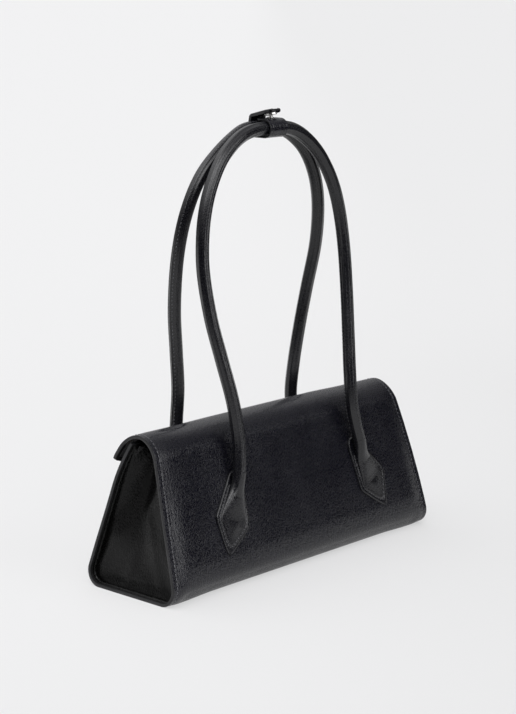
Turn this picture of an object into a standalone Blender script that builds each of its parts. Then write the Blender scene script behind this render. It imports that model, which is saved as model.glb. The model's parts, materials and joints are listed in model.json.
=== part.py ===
"""Structured leather shoulder bag: one wrap of leather, inset gussets, a flap and two rolled handles.

Units are metres, +Z is up, +X runs along the bag and -Y is the side that carries the front handle.
The origin is the middle of the base, on the surface that the bag stands on.
"""

import math

import bmesh
import bpy
from mathutils import Matrix, Vector

# Body of the bag
base_length = 0.300
body_height = 0.1187
front_lean = math.radians(16.5)
rear_lean = math.radians(17.3)
end_lean_share = 0.102
base_edge_radius = 0.0121
ridge_radius = 0.0223
lip_standoff = 0.00524
wall_top_gap = 0.0006

# Leather, boards and lining
leather_thickness = 0.0014
gusset_thickness = 0.0010
board_thickness = 0.0010
lining_thickness = 0.0007
clearance = 0.0003

# Flap
flap_fold_angle = math.radians(133.0)
flap_tip_angle = math.radians(4.0)
flap_board_thickness = 0.0007
flap_lining_thickness = 0.0006
flap_board_end_angle = math.radians(38.0)
flap_board_side_margin = 0.004

# Gussets
gusset_top_drop = 0.0035
gusset_top_angle = math.radians(155.0)
gusset_set_in = 0.0070
gusset_bend_radius = 0.0030
gusset_fold_depth = 0.0050
lining_flange_width = 0.0080
gusset_lining_gap = 0.0006

# Boards between leather and lining
board_foot_height = 0.018
front_board_margin = 0.0047
rear_board_margin = 0.0035

# Magnets that hold the flap shut
magnet_length = 0.030
magnet_spacing = 0.110
flap_magnet_start_angle = math.radians(32.0)
flap_magnet_end_angle = math.radians(14.0)
wall_magnet_height = 0.0070
wall_magnet_drop = 0.0065

# Handles
tube_radius = 0.0052
cover_thickness = 0.0013
handle_half_width = 0.0804
foot_drop = 0.0347
foot_standoff = 0.0086
crown_height = 0.3337
crown_spacing = 0.0112
crown_offset = 0.0036
handle_height_shares = (0.0, 0.05, 0.12, 0.22, 0.34, 0.465, 0.60, 0.71, 0.80, 0.875, 0.935, 0.982, 1.0)
handle_width_shares = (0.886, 0.855, 0.832, 0.848, 0.908, 0.970, 1.0, 0.973, 0.90, 0.782, 0.625, 0.40, 0.165)
front_set_shares = (1.0, 0.955, 0.895, 0.80, 0.615, 0.419, 0.255, 0.165, 0.110, 0.066, 0.034, 0.010, 0.0)
rear_set_shares = (1.0, 1.06, 1.085, 0.975, 0.86, 0.715, 0.465, 0.272, 0.140, 0.066, 0.030, 0.008, 0.0)

# Diamond tabs at the handle feet
tab_half_width = 0.0158
tab_point_length = 0.0262
tab_shoulder_length = 0.0310
tab_corner_radius = 0.0028
tab_thickness = 0.0024
tab_edge_radius = 0.0004
tab_centre_drop = 0.0667
tab_outset = 0.0110
tab_tilt = math.radians(21.0)
neck_start_height_share = 0.6
neck_middle_share = 0.5

# Keeper strap that ties the handles together
keeper_width = 0.0190
keeper_offset = 0.0040
keeper_thickness = 0.0014
keeper_clearance = 0.0006
keeper_lap = 0.0062
keeper_bend_radius = 0.0050
keeper_bend_height = 0.0049
keeper_tab_length = 0.0185
keeper_tab_rise = math.radians(13.0)

# Snap between the keeper's two ends
snap_reach = 0.0035
stud_base_radius = 0.0030
stud_base_height = 0.0005
stud_post_radius = 0.0015
stud_post_height = 0.0015
socket_radius = 0.0043
socket_height = 0.0014
socket_hole_radius = 0.0024
socket_hole_depth = 0.0009
cut_overrun = 0.001

# Fineness of round forms
corner_steps = 6
ridge_step_angle = math.radians(11.0)
bend_steps = 3
gusset_wall_rows = 6
gusset_arch_rows = 2
gusset_columns = 8
route_steps = 3
tube_sides_resolution = 3
core_sides_resolution = 2
snap_sides = 20
outline_corner_steps = 3

# Derived places
half_length = base_length / 2
lean_tangents = math.tan(front_lean) + math.tan(rear_lean)
ridge_share = 1 + 1 / math.cos(front_lean) - lean_tangents
half_depth = (ridge_radius * ridge_share + body_height * lean_tangents - lip_standoff) / 2
ridge_centre_z = body_height - ridge_radius
ridge_centre_y = (ridge_radius + ridge_centre_z * math.sin(front_lean)) / math.cos(front_lean) - half_depth
board_inset = leather_thickness + clearance
lining_inset = board_inset + board_thickness + clearance
flange_inset = lining_inset + lining_thickness + clearance
flap_lining_inset = board_inset + flap_board_thickness + clearance
inside_end_inset = gusset_set_in + clearance
foot_height = body_height - foot_drop
tab_centre_height = body_height - tab_centre_drop
tab_centre_half_spacing = handle_half_width * handle_width_shares[0] + tab_outset
arch_inset = flap_lining_inset + flap_lining_thickness
wall_reach = ridge_radius - arch_inset - wall_top_gap
wall_from_centre = (ridge_radius - lip_standoff) * math.cos(rear_lean)
wall_rise = math.sqrt(wall_reach ** 2 - wall_from_centre ** 2) * math.cos(rear_lean)
wall_climb = (ridge_radius - lip_standoff) * math.sin(rear_lean) * math.cos(rear_lean)
rear_wall_height = ridge_centre_z + wall_climb + wall_rise
gusset_height = rear_wall_height - gusset_top_drop
ridge_start_height = ridge_centre_z + ridge_radius * math.sin(front_lean)
front_board_height = ridge_start_height - front_board_margin
wall_magnet_top = rear_wall_height - wall_magnet_drop
wall_magnet_foot = wall_magnet_top - wall_magnet_height
rear_board_height = wall_magnet_foot - rear_board_margin
crown_y = {-1: crown_offset - crown_spacing / 2, 1: crown_offset + crown_spacing / 2}


def clear_scene():
    """Remove every object that the scene holds."""
    for old in list(bpy.data.objects):
        bpy.data.objects.remove(old, do_unlink=True)


def new_collection(name):
    """Make a collection and link it to the scene."""
    group = bpy.data.collections.new(name)
    bpy.context.scene.collection.children.link(group)
    return group


def new_material(name, colour, roughness, metallic=0.0):
    """Make a Principled material with one colour."""
    material = bpy.data.materials.new(name)
    material.use_nodes = True
    shader = material.node_tree.nodes["Principled BSDF"]
    shader.inputs["Base Color"].default_value = (*colour, 1.0)
    shader.inputs["Roughness"].default_value = roughness
    shader.inputs["Metallic"].default_value = metallic
    return material


def add_object(name, data, group, material):
    """Put new object data in a collection with its own material."""
    item = bpy.data.objects.new(name, data)
    group.objects.link(item)
    item.data.materials.append(material)
    return item


def add_grid(name, rows, group, material):
    """Make an open surface from rows of points, all rows alike in count."""
    sheet = bmesh.new()
    lines = [[sheet.verts.new(point) for point in row] for row in rows]
    for low, high in zip(lines, lines[1:]):
        for a, b, c, d in zip(low, low[1:], high[1:], high):
            sheet.faces.new((a, b, c, d))
    mesh = bpy.data.meshes.new(name)
    sheet.to_mesh(mesh)
    sheet.free()
    return add_object(name, mesh, group, material)


def thicken(item, thickness):
    """Turn an open surface into a closed sheet that grows away from its normals."""
    shell = item.modifiers.new("thickness", "SOLIDIFY")
    shell.thickness = thickness
    shell.offset = -1.0
    shell.use_even_offset = True
    return item


def shade_round(item):
    """Shade a round piece smooth, apart from its sharp edges."""
    item.data.shade_smooth()
    item.data.set_sharp_from_angle(angle=math.radians(40.0))
    return item


def arc(centre, radius, start, end, steps):
    """Points along an arc in the section plane, both ends included."""
    turn = (end - start) / steps
    angles = [start + turn * i for i in range(steps + 1)]
    return [(centre[0] + radius * math.cos(a), centre[1] + radius * math.sin(a)) for a in angles]


def lean_of(side):
    """Lean of the front wall (side -1) or of the rear wall (side 1)."""
    return front_lean if side < 0 else rear_lean


def wall_point(side, height, inset):
    """Section point of a wall at a height, moved inwards by an inset."""
    lean = lean_of(side)
    return (side * (half_depth - inset / math.cos(lean) - height * math.tan(lean)), height)


def corner_arc(side, inset):
    """Rounded base edge below a wall, from the wall down to the base."""
    lean = lean_of(side)
    centre_y = half_depth - base_edge_radius * (1 / math.cos(lean) + math.tan(lean))
    centre = (centre_y, base_edge_radius)
    points = arc(centre, base_edge_radius - inset, lean, -math.pi / 2, corner_steps)
    return [(side * y, z) for y, z in points]


def arch_points(inset, start, end, steps):
    """Points on the arch over the ridge between two angles, measured from +Y towards +Z."""
    return arc((ridge_centre_y, ridge_centre_z), ridge_radius - inset, start, end, steps)


def ridge_arc(inset, start, end):
    """Arch over the ridge between two angles, in steps of about the ridge's step angle."""
    steps = max(1, round(abs(end - start) / ridge_step_angle))
    return arch_points(inset, start, end, steps)


def section_y(side, height, inset):
    """Place of a wall at a height, on the arch where the front wall has turned into it."""
    y = wall_point(side, height, inset)[0]
    above = height - ridge_centre_z
    radius = ridge_radius - inset
    if side < 0 and radius * math.sin(front_lean) < above < radius:
        y = ridge_centre_y - math.sqrt(radius ** 2 - above ** 2)
    return y


def wrap_path(inset, rear_top):
    """Section of one layer of the body, from the rear wall's top to the fold of the flap."""
    path = [wall_point(1, rear_top, inset)]
    path += corner_arc(1, inset)
    path += list(reversed(corner_arc(-1, inset)))
    path += ridge_arc(inset, math.pi - front_lean, flap_fold_angle)
    return path


def end_x(height, inset):
    """Distance of a bag's end from its middle at a height."""
    return half_length - end_lean_share * height - inset


def add_layer(name, path, end_inset, thickness, group, material):
    """Sheet along a section path, from one leaning end of the bag to the other."""
    rows = [[(s * end_x(z, end_inset), y, z) for s in (-1, 1)] for y, z in path]
    return thicken(add_grid(name, rows, group, material), thickness)


def add_magnets(name, path, thickness, group, material):
    """Two like magnet plates along a section path, left and right of the middle."""
    plates = []
    for side, word in ((-1, "left"), (1, "right")):
        middle = side * magnet_spacing / 2
        ends = (middle - magnet_length / 2, middle + magnet_length / 2)
        rows = [[(x, y, z) for x in ends] for y, z in path]
        plates.append(thicken(add_grid(name + "_" + word, rows, group, material), thickness))
    return plates


def gusset_rim(inset):
    """Section of a gusset's rim: rear wall, base edge, base, base edge and front wall."""
    rear = corner_arc(1, inset)
    front = list(reversed(corner_arc(-1, inset)))
    rear_rows = gusset_wall_rows + gusset_arch_rows
    rear_top = wall_point(1, gusset_height, inset)
    rear_wall = [blend(rear_top, rear[0], i / rear_rows) for i in range(rear_rows)]
    base = [blend(rear[-1], front[0], i / gusset_columns) for i in range(1, gusset_columns)]
    ridge = arch_points(inset, math.pi - front_lean, gusset_top_angle, gusset_arch_rows)
    front_wall = [blend(front[-1], ridge[0], i / gusset_wall_rows) for i in range(1, gusset_wall_rows)]
    return rear_wall + rear + base + front + front_wall + ridge


def blend(first, second, share):
    """Point at a share of the way from one point to another."""
    return tuple(a + (b - a) * share for a, b in zip(first, second))


def gusset_rings(side, rim_inset, edge_inset, panel_inset, bend_direction):
    """Rings of a gusset tray: its flange's free edge, and its bend as far as the panel."""
    rings = [[(side * end_x(z, edge_inset), y, z) for y, z in gusset_rim(rim_inset)]]
    for step in range(bend_steps + 1):
        turn = math.pi / 2 * step / bend_steps
        depth = gusset_bend_radius * (1 - math.cos(turn))
        back = gusset_bend_radius * (1 - math.sin(turn)) * bend_direction
        rings.append([(side * end_x(z, panel_inset - back), y, z) for y, z in gusset_rim(rim_inset + depth)])
    return rings


def gusset_fold(point, side):
    """Move a panel point inwards along the soft fold that fades towards the base and the walls."""
    x, y, z = point
    rise = max(0.0, (z - base_edge_radius) / (gusset_height - base_edge_radius))
    room = section_y(1 if y > 0 else -1, z, flange_inset + gusset_bend_radius)
    across = max(0.0, 1 - y / room)
    return (x - side * gusset_fold_depth * rise * across, y, z)


def add_gusset(name, side, layer, group, material):
    """Gusset tray at one end: an open-topped panel with a turned flange round three sides."""
    rim_inset, edge_inset, panel_inset, bend_direction, thickness = layer
    rings = gusset_rings(side, rim_inset, edge_inset, panel_inset, bend_direction)
    sheet = bmesh.new()
    lines = [[sheet.verts.new(point) for point in ring] for ring in rings]
    flip = (side > 0) == (bend_direction < 0)
    faces = []
    for low, high in zip(lines, lines[1:]):
        faces += [(a, b, c, d) for a, b, c, d in zip(low, low[1:], high[1:], high)]
    faces += gusset_panel(sheet, lines[-1], side)
    for face in faces:
        sheet.faces.new(tuple(reversed(face)) if flip else face)
    mesh = bpy.data.meshes.new(name)
    sheet.to_mesh(mesh)
    sheet.free()
    return thicken(add_object(name, mesh, group, material), thickness)


def gusset_panel(sheet, rim, side):
    """Rows of faces across the panel, between like points of the rim's rear and front."""
    row_count = gusset_wall_rows + gusset_arch_rows + corner_steps
    shares = [i / gusset_columns for i in range(1, gusset_columns)]
    rows = []
    for i in range(row_count):
        rear, front = rim[i], rim[len(rim) - 1 - i]
        inner = [sheet.verts.new(gusset_fold(blend(rear.co, front.co, t), side)) for t in shares]
        rows.append([rear] + inner + [front])
    rows.append(rim[row_count:row_count + gusset_columns + 1])
    faces = []
    for high, low in zip(rows, rows[1:]):
        faces += [(b, a, d, c) for a, b, c, d in zip(high, high[1:], low[1:], low)]
    return faces


def add_body(group, leather, gusset_leather, board, lining, steel):
    """Wrap, gussets, boards, lining and wall magnets."""
    add_layer("outer_wrap", wrap_path(0.0, rear_wall_height), 0.0, leather_thickness, group, leather)
    lining_top = rear_wall_height - clearance
    lining_path = wrap_path(lining_inset, lining_top)
    add_layer("lining_wrap", lining_path, inside_end_inset, lining_thickness, group, lining)
    front = [wall_point(-1, board_foot_height, board_inset), wall_point(-1, front_board_height, board_inset)]
    rear = [wall_point(1, rear_board_height, board_inset), wall_point(1, board_foot_height, board_inset)]
    base = [(corner_arc(side, 0.0)[-1][0], board_inset) for side in (1, -1)]
    for name, path in (("front_board", front), ("rear_board", rear), ("base_board", base)):
        add_layer(name, path, inside_end_inset, board_thickness, group, board)
    for side, word in ((-1, "left"), (1, "right")):
        outer = (board_inset, 0.0, gusset_set_in, 1, gusset_thickness)
        add_gusset("gusset_" + word, side, outer, group, gusset_leather)
        panel = gusset_set_in + gusset_lining_gap
        inner = (flange_inset, panel + lining_flange_width, panel, -1, lining_thickness)
        add_gusset("lining_gusset_" + word, side, inner, group, lining)
    magnet_path = [wall_point(1, wall_magnet_foot + wall_magnet_height, board_inset)]
    magnet_path.append(wall_point(1, wall_magnet_foot, board_inset))
    add_magnets("wall_magnet", magnet_path, board_thickness, group, steel)


def add_axis(name, place):
    """Empty on a joint's axis."""
    axis = bpy.data.objects.new(name, None)
    bpy.context.scene.collection.objects.link(axis)
    axis.location = place
    return axis


def carry(items, axis):
    """Parent pieces to the empty on their joint's axis, and leave them where they are."""
    bpy.context.view_layer.update()
    for item in items:
        item.parent = axis
        item.matrix_parent_inverse = axis.matrix_world.inverted()


def flap_axis_place():
    """Fold line of the flap, on the leather's outer face."""
    y, z = arch_points(0.0, flap_fold_angle, flap_tip_angle, 1)[0]
    return (0.0, y, z)


def add_flap(group, leather, board, lining, steel):
    """Flap over the ridge: leather, board, lining and the magnets in its lip."""
    start = flap_fold_angle - clearance / (ridge_radius - arch_inset)
    leather_path = ridge_arc(0.0, start, flap_tip_angle)
    board_path = ridge_arc(board_inset, start, flap_board_end_angle)
    lining_path = ridge_arc(flap_lining_inset, start, flap_tip_angle)
    magnet_path = ridge_arc(board_inset, flap_magnet_start_angle, flap_magnet_end_angle)
    side_margin = flap_board_side_margin
    items = [
        add_layer("flap_leather", leather_path, 0.0, leather_thickness, group, leather),
        add_layer("flap_board", board_path, side_margin, flap_board_thickness, group, board),
        add_layer("flap_lining", lining_path, 0.0, flap_lining_thickness, group, lining),
    ]
    items += add_magnets("flap_magnet", magnet_path, flap_board_thickness, group, steel)
    carry(items, add_axis("flap_axis", flap_axis_place()))


def foot_y(side):
    """Place of a handle's foot in front of or behind the bag."""
    return wall_point(side, foot_height, 0.0)[0] + side * foot_standoff


def handle_route(side):
    """Points along a handle's middle line, from its left foot over the crown to its right foot."""
    set_shares = front_set_shares if side < 0 else rear_set_shares
    half = []
    for rise, width, set_share in zip(handle_height_shares, handle_width_shares, set_shares):
        z = foot_height + rise * (crown_height - foot_height)
        y = crown_y[side] + set_share * (foot_y(side) - crown_y[side])
        half.append(Vector((-width * handle_half_width, y, z)))
    mirrored = [Vector((-p.x, p.y, p.z)) for p in reversed(half)]
    return smooth_route(half + mirrored)


def smooth_route(points):
    """Curve through the points, with even steps between each pair (Catmull-Rom)."""
    ends = [points[0] * 2 - points[1]] + points + [points[-1] * 2 - points[-2]]
    route = []
    for p0, p1, p2, p3 in zip(ends, ends[1:], ends[2:], ends[3:]):
        for step in range(route_steps):
            t = step / route_steps
            pull = (p2 - p0) * t + (p0 * 2 - p1 * 5 + p2 * 4 - p3) * t ** 2
            route.append(p1 + (pull + (p1 * 3 - p0 - p2 * 3 + p3) * t ** 3) / 2)
    return route + [points[-1]]


def add_tube(name, route, radii, depth, resolution, group, material, caps):
    """Curve object swept along a route, with a radius at each point."""
    curve = bpy.data.curves.new(name, "CURVE")
    curve.dimensions = "3D"
    curve.bevel_depth = depth
    curve.bevel_resolution = resolution
    curve.use_fill_caps = caps
    spline = curve.splines.new("POLY")
    spline.points.add(len(route) - 1)
    for point, place, radius in zip(spline.points, route, radii):
        point.co = (*place, 1.0)
        point.radius = radius
    return add_object(name, curve, group, material)


def as_mesh(item, group):
    """Replace a curve object by a mesh object with the same name and place, its caps welded."""
    name = item.name
    bpy.context.view_layer.update()
    evaluated = item.evaluated_get(bpy.context.evaluated_depsgraph_get())
    mesh = bpy.data.meshes.new_from_object(evaluated)
    work = bmesh.new()
    work.from_mesh(mesh)
    bmesh.ops.remove_doubles(work, verts=work.verts, dist=clearance / 100)
    work.to_mesh(mesh)
    work.free()
    place = item.matrix_world.copy()
    bpy.data.objects.remove(item, do_unlink=True)
    solid = bpy.data.objects.new(name, mesh)
    group.objects.link(solid)
    solid.matrix_world = place
    return solid


def add_handle(side, word, group, leather, rope):
    """Rolled leather cover round a rope core, open at both feet."""
    route = handle_route(side)
    ones = [1.0] * len(route)
    sides = tube_sides_resolution
    cover = add_tube(word + "_handle_cover", route, ones, tube_radius, sides, group, leather, False)
    cover = as_mesh(cover, group)
    thicken(cover, cover_thickness)
    shade_round(cover)
    core_radius = tube_radius - cover_thickness - clearance
    sides = core_sides_resolution
    core = add_tube(word + "_handle_core", route, ones, core_radius, sides, group, rope, True)
    core = as_mesh(core, group)
    shade_round(core)
    return [cover, core]


def handle_axis_place(side):
    """Hinge line of a handle: its feet, on the side that faces away from the bag."""
    return (0.0, foot_y(side) + side * tube_radius, foot_height)


def rounded_outline(corners, radii):
    """Convex outline through corners, counter-clockwise, each turned into an arc of its radius."""
    outline = []
    for i, corner in enumerate(corners):
        here = Vector(corner)
        before = (Vector(corners[i - 1]) - here).normalized()
        after = (Vector(corners[(i + 1) % len(corners)]) - here).normalized()
        half_angle = before.angle(after) / 2
        reach = radii[i] / math.tan(half_angle)
        middle = here + (before + after).normalized() * (radii[i] / math.sin(half_angle))
        first = here + before * reach - middle
        turn = math.pi - half_angle * 2
        for step in range(outline_corner_steps + 1):
            spin = Matrix.Rotation(turn * step / outline_corner_steps, 2)
            outline.append(middle + spin @ first)
    return outline


def add_plate(name, outline, thickness, group, material):
    """Flat plate from a closed outline."""
    curve = bpy.data.curves.new(name, "CURVE")
    curve.dimensions = "2D"
    curve.fill_mode = "BOTH"
    curve.extrude = thickness / 2
    spline = curve.splines.new("POLY")
    spline.points.add(len(outline) - 1)
    for point, place in zip(spline.points, outline):
        point.co = (place[0], place[1], 0.0, 1.0)
    spline.use_cyclic_u = True
    return add_object(name, curve, group, material)


def tab_frame(side, hand):
    """Place of a tab's middle on its wall, with local Y up the tab and local Z out of the wall."""
    lean = lean_of(side)
    y, z = wall_point(side, tab_centre_height, -clearance)
    normal = Vector((0.0, side * math.cos(lean), math.sin(lean)))
    up_wall = Vector((0.0, -side * math.sin(lean), math.cos(lean)))
    along = Vector((-hand * math.sin(tab_tilt), 0.0, 0.0)) + up_wall * math.cos(tab_tilt)
    across = along.cross(normal)
    frame = Matrix((across, along, normal)).transposed().to_4x4()
    return Matrix.Translation((hand * tab_centre_half_spacing, y, z)) @ frame


def add_tab(side, hand, name, group, cutters, leather):
    """Diamond tab stitched on the wall, with the raised neck that the handle grows out of."""
    corners = (
        (0.0, -tab_point_length),
        (tab_half_width, 0.0),
        (tube_radius, tab_shoulder_length),
        (-tube_radius, tab_shoulder_length),
        (-tab_half_width, 0.0),
    )
    radii = (tab_corner_radius, tab_corner_radius, tube_radius / 2, tube_radius / 2, tab_corner_radius)
    outline = rounded_outline(corners, radii)
    plate = add_plate(name, outline, tab_thickness, group, leather)
    frame = tab_frame(side, hand)
    plate.matrix_world = frame @ Matrix.Translation((0.0, 0.0, tab_thickness / 2))
    plate = as_mesh(plate, group)
    ease = plate.modifiers.new("eased edges", "BEVEL")
    ease.width = tab_edge_radius
    ease.segments = 1
    ease.limit_method = "ANGLE"
    neck = add_neck(side, hand, frame, name + "_neck", cutters, leather)
    join = plate.modifiers.new("neck", "BOOLEAN")
    join.operation = "UNION"
    join.object = neck
    join.solver = "EXACT"
    return plate


def add_neck(side, hand, frame, name, cutters, leather):
    """Tapered neck from the middle of a tab to its handle's foot."""
    route = handle_route(side)
    foot, after = (route[0], route[1]) if hand < 0 else (route[-1], route[-2])
    climb = (after - foot).normalized()
    end = foot - climb * clearance
    last = end - climb * tube_radius
    start = frame @ Vector((0.0, 0.0, tab_thickness * neck_start_height_share))
    middle = start.lerp(last, neck_middle_share)
    heights = [(frame.inverted() @ place).z for place in (start, middle)]
    radii = [(height - clearance) / tube_radius for height in heights] + [1.0, 1.0]
    places = (start, middle, last, end)
    neck = add_tube(name, places, radii, tube_radius, tube_sides_resolution, cutters, leather, True)
    neck = as_mesh(neck, cutters)
    neck.hide_render = True
    neck.display_type = "WIRE"
    return neck


def crown_middle(side):
    """Middle of a handle's tube at the crown."""
    return (crown_y[side], crown_height)


def keeper_outer():
    """Distance of the keeper's outer face from the middle of each tube."""
    return tube_radius + keeper_clearance + keeper_thickness


def keeper_hinge_place():
    """Line below the gap between the tubes where the keeper's loop opens."""
    return (keeper_offset, crown_offset, crown_height - keeper_outer())


def add_strap(name, path, group, material):
    """Strap of the keeper's width along a section path."""
    ends = (keeper_offset - keeper_width / 2, keeper_offset + keeper_width / 2)
    rows = [[(x, y, z) for x in ends] for y, z in path]
    return thicken(add_grid(name, rows, group, material), keeper_thickness)


def keeper_band_path():
    """Fixed part of the keeper: over the front tube, round it and back below the gap."""
    outer = keeper_outer()
    hinge_y = keeper_hinge_place()[1]
    path = [(crown_offset + keeper_lap / 2, crown_height + outer)]
    path += arc(crown_middle(-1), outer, math.pi / 2, math.pi * 3 / 2, corner_steps * 2)
    path.append((hinge_y - clearance, crown_height - outer))
    return path[::-1]


def keeper_tab_start():
    """Section point where the keeper's tab leaves its bend, and the tab's direction."""
    outer = keeper_outer()
    centre = (crown_y[1] + outer - keeper_bend_radius, crown_height + keeper_bend_height)
    bend = arc(centre, keeper_bend_radius, 0.0, math.pi / 2 - keeper_tab_rise, bend_steps + 1)
    direction = (-math.cos(keeper_tab_rise), math.sin(keeper_tab_rise))
    return bend, direction


def keeper_tab_path():
    """Moving part of the keeper: below and up round the rear tube, then forwards as the free tab."""
    bend, direction = keeper_tab_start()
    path = [keeper_hinge_place()[1:]]
    path += arc(crown_middle(1), keeper_outer(), -math.pi / 2, 0.0, corner_steps)
    path += bend
    path.append(tuple(a + b * keeper_tab_length for a, b in zip(bend[-1], direction)))
    return path[::-1]


def add_disc(name, radius, height, place, spin, group, material):
    """Cylinder that stands on a place, turned about X."""
    bpy.ops.mesh.primitive_cylinder_add(vertices=snap_sides, radius=radius, depth=height)
    disc = bpy.context.object
    disc.name = name
    for owner in list(disc.users_collection):
        owner.objects.unlink(disc)
    group.objects.link(disc)
    disc.data.transform(Matrix.Translation((0.0, 0.0, height / 2)))
    disc.matrix_world = Matrix.Translation(place) @ Matrix.Rotation(spin, 4, "X")
    disc.data.materials.append(material)
    return disc


def combine(item, tool, operation):
    """Join a tool to a piece, or cut it out, and hide the tool."""
    change = item.modifiers.new(tool.name, "BOOLEAN")
    change.operation = operation
    change.object = tool
    change.solver = "EXACT"
    tool.hide_render = True
    tool.display_type = "WIRE"


def add_snap(group, cutters, steel):
    """Snap stud on the band and snap socket below the tab."""
    bend, direction = keeper_tab_start()
    reach = (bend[-1][0] - crown_offset + snap_reach) / math.cos(keeper_tab_rise)
    on_tab = tuple(a + b * reach for a, b in zip(bend[-1], direction))
    band_top = crown_height + keeper_outer() + clearance
    stud_place = (keeper_offset, on_tab[0], band_top)
    stud = add_disc("snap_stud", stud_base_radius, stud_base_height, stud_place, 0.0, group, steel)
    post_height = stud_base_height + stud_post_height
    post = add_disc("snap_stud_post", stud_post_radius, post_height, stud_place, 0.0, cutters, steel)
    combine(stud, post, "UNION")
    drop = keeper_thickness + clearance + socket_height
    down = (-math.sin(keeper_tab_rise), -math.cos(keeper_tab_rise))
    socket_place = (keeper_offset, on_tab[0] + down[0] * drop, on_tab[1] + down[1] * drop)
    spin = -keeper_tab_rise
    socket = add_disc("snap_socket", socket_radius, socket_height, socket_place, spin, group, steel)
    hole_depth = socket_hole_depth + cut_overrun
    hole_place = Matrix.Rotation(spin, 3, "X") @ Vector((0.0, 0.0, -cut_overrun)) + Vector(socket_place)
    hole = add_disc("snap_socket_hole", socket_hole_radius, hole_depth, hole_place, spin, cutters, steel)
    combine(socket, hole, "DIFFERENCE")
    return (stud, post), (socket, hole)


def add_keeper(group, cutters, leather, steel, handle_axis):
    """Keeper strap round both tubes: the band rides on the front handle and the tab opens on it."""
    band = add_strap("keeper_band", keeper_band_path(), group, leather)
    tab = add_strap("keeper_tab", keeper_tab_path(), group, leather)
    studs, sockets = add_snap(group, cutters, steel)
    for item in (band, tab, studs[0], sockets[0]):
        shade_round(item)
    axis = add_axis("keeper_axis", keeper_hinge_place())
    carry((tab, *sockets), axis)
    carry((band, *studs, axis), handle_axis)


def main():
    """Build the bag."""
    clear_scene()
    group = new_collection("shoulder_bag")
    cutters = new_collection("cutters")
    leather = new_material("pebbled_leather", (0.018, 0.018, 0.020), 0.45)
    gusset_leather = new_material("gusset_leather", (0.012, 0.012, 0.013), 0.6)
    handle_leather = new_material("handle_leather", (0.016, 0.016, 0.017), 0.32)
    lining = new_material("lining_cloth", (0.03, 0.03, 0.032), 0.9)
    board = new_material("fibre_board", (0.25, 0.2, 0.14), 0.85)
    rope = new_material("rope_core", (0.6, 0.55, 0.45), 0.9)
    steel = new_material("polished_steel", (0.72, 0.72, 0.70), 0.2, 1.0)
    add_body(group, leather, gusset_leather, board, lining, steel)
    add_flap(group, leather, board, lining, steel)
    axes = {}
    for side, word in ((-1, "front"), (1, "rear")):
        pieces = add_handle(side, word, group, handle_leather, rope)
        axes[side] = add_axis(word + "_handle_axis", handle_axis_place(side))
        carry(pieces, axes[side])
        for hand, hand_word in ((-1, "left"), (1, "right")):
            name = word + "_tab_" + hand_word
            add_tab(side, hand, name, group, cutters, handle_leather)
    add_keeper(group, cutters, handle_leather, steel, axes[-1])


if __name__ == "__main__":
    main()
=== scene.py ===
"""Black leather shoulder bag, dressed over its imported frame: wrap, gussets, tabs, handles, keeper and lining.

Lengths are metres, +Z is up and -Y is the side that carries the front handle, as in the frame.
"""

import json
import logging
import math
from dataclasses import dataclass, field
from enum import Enum

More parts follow.
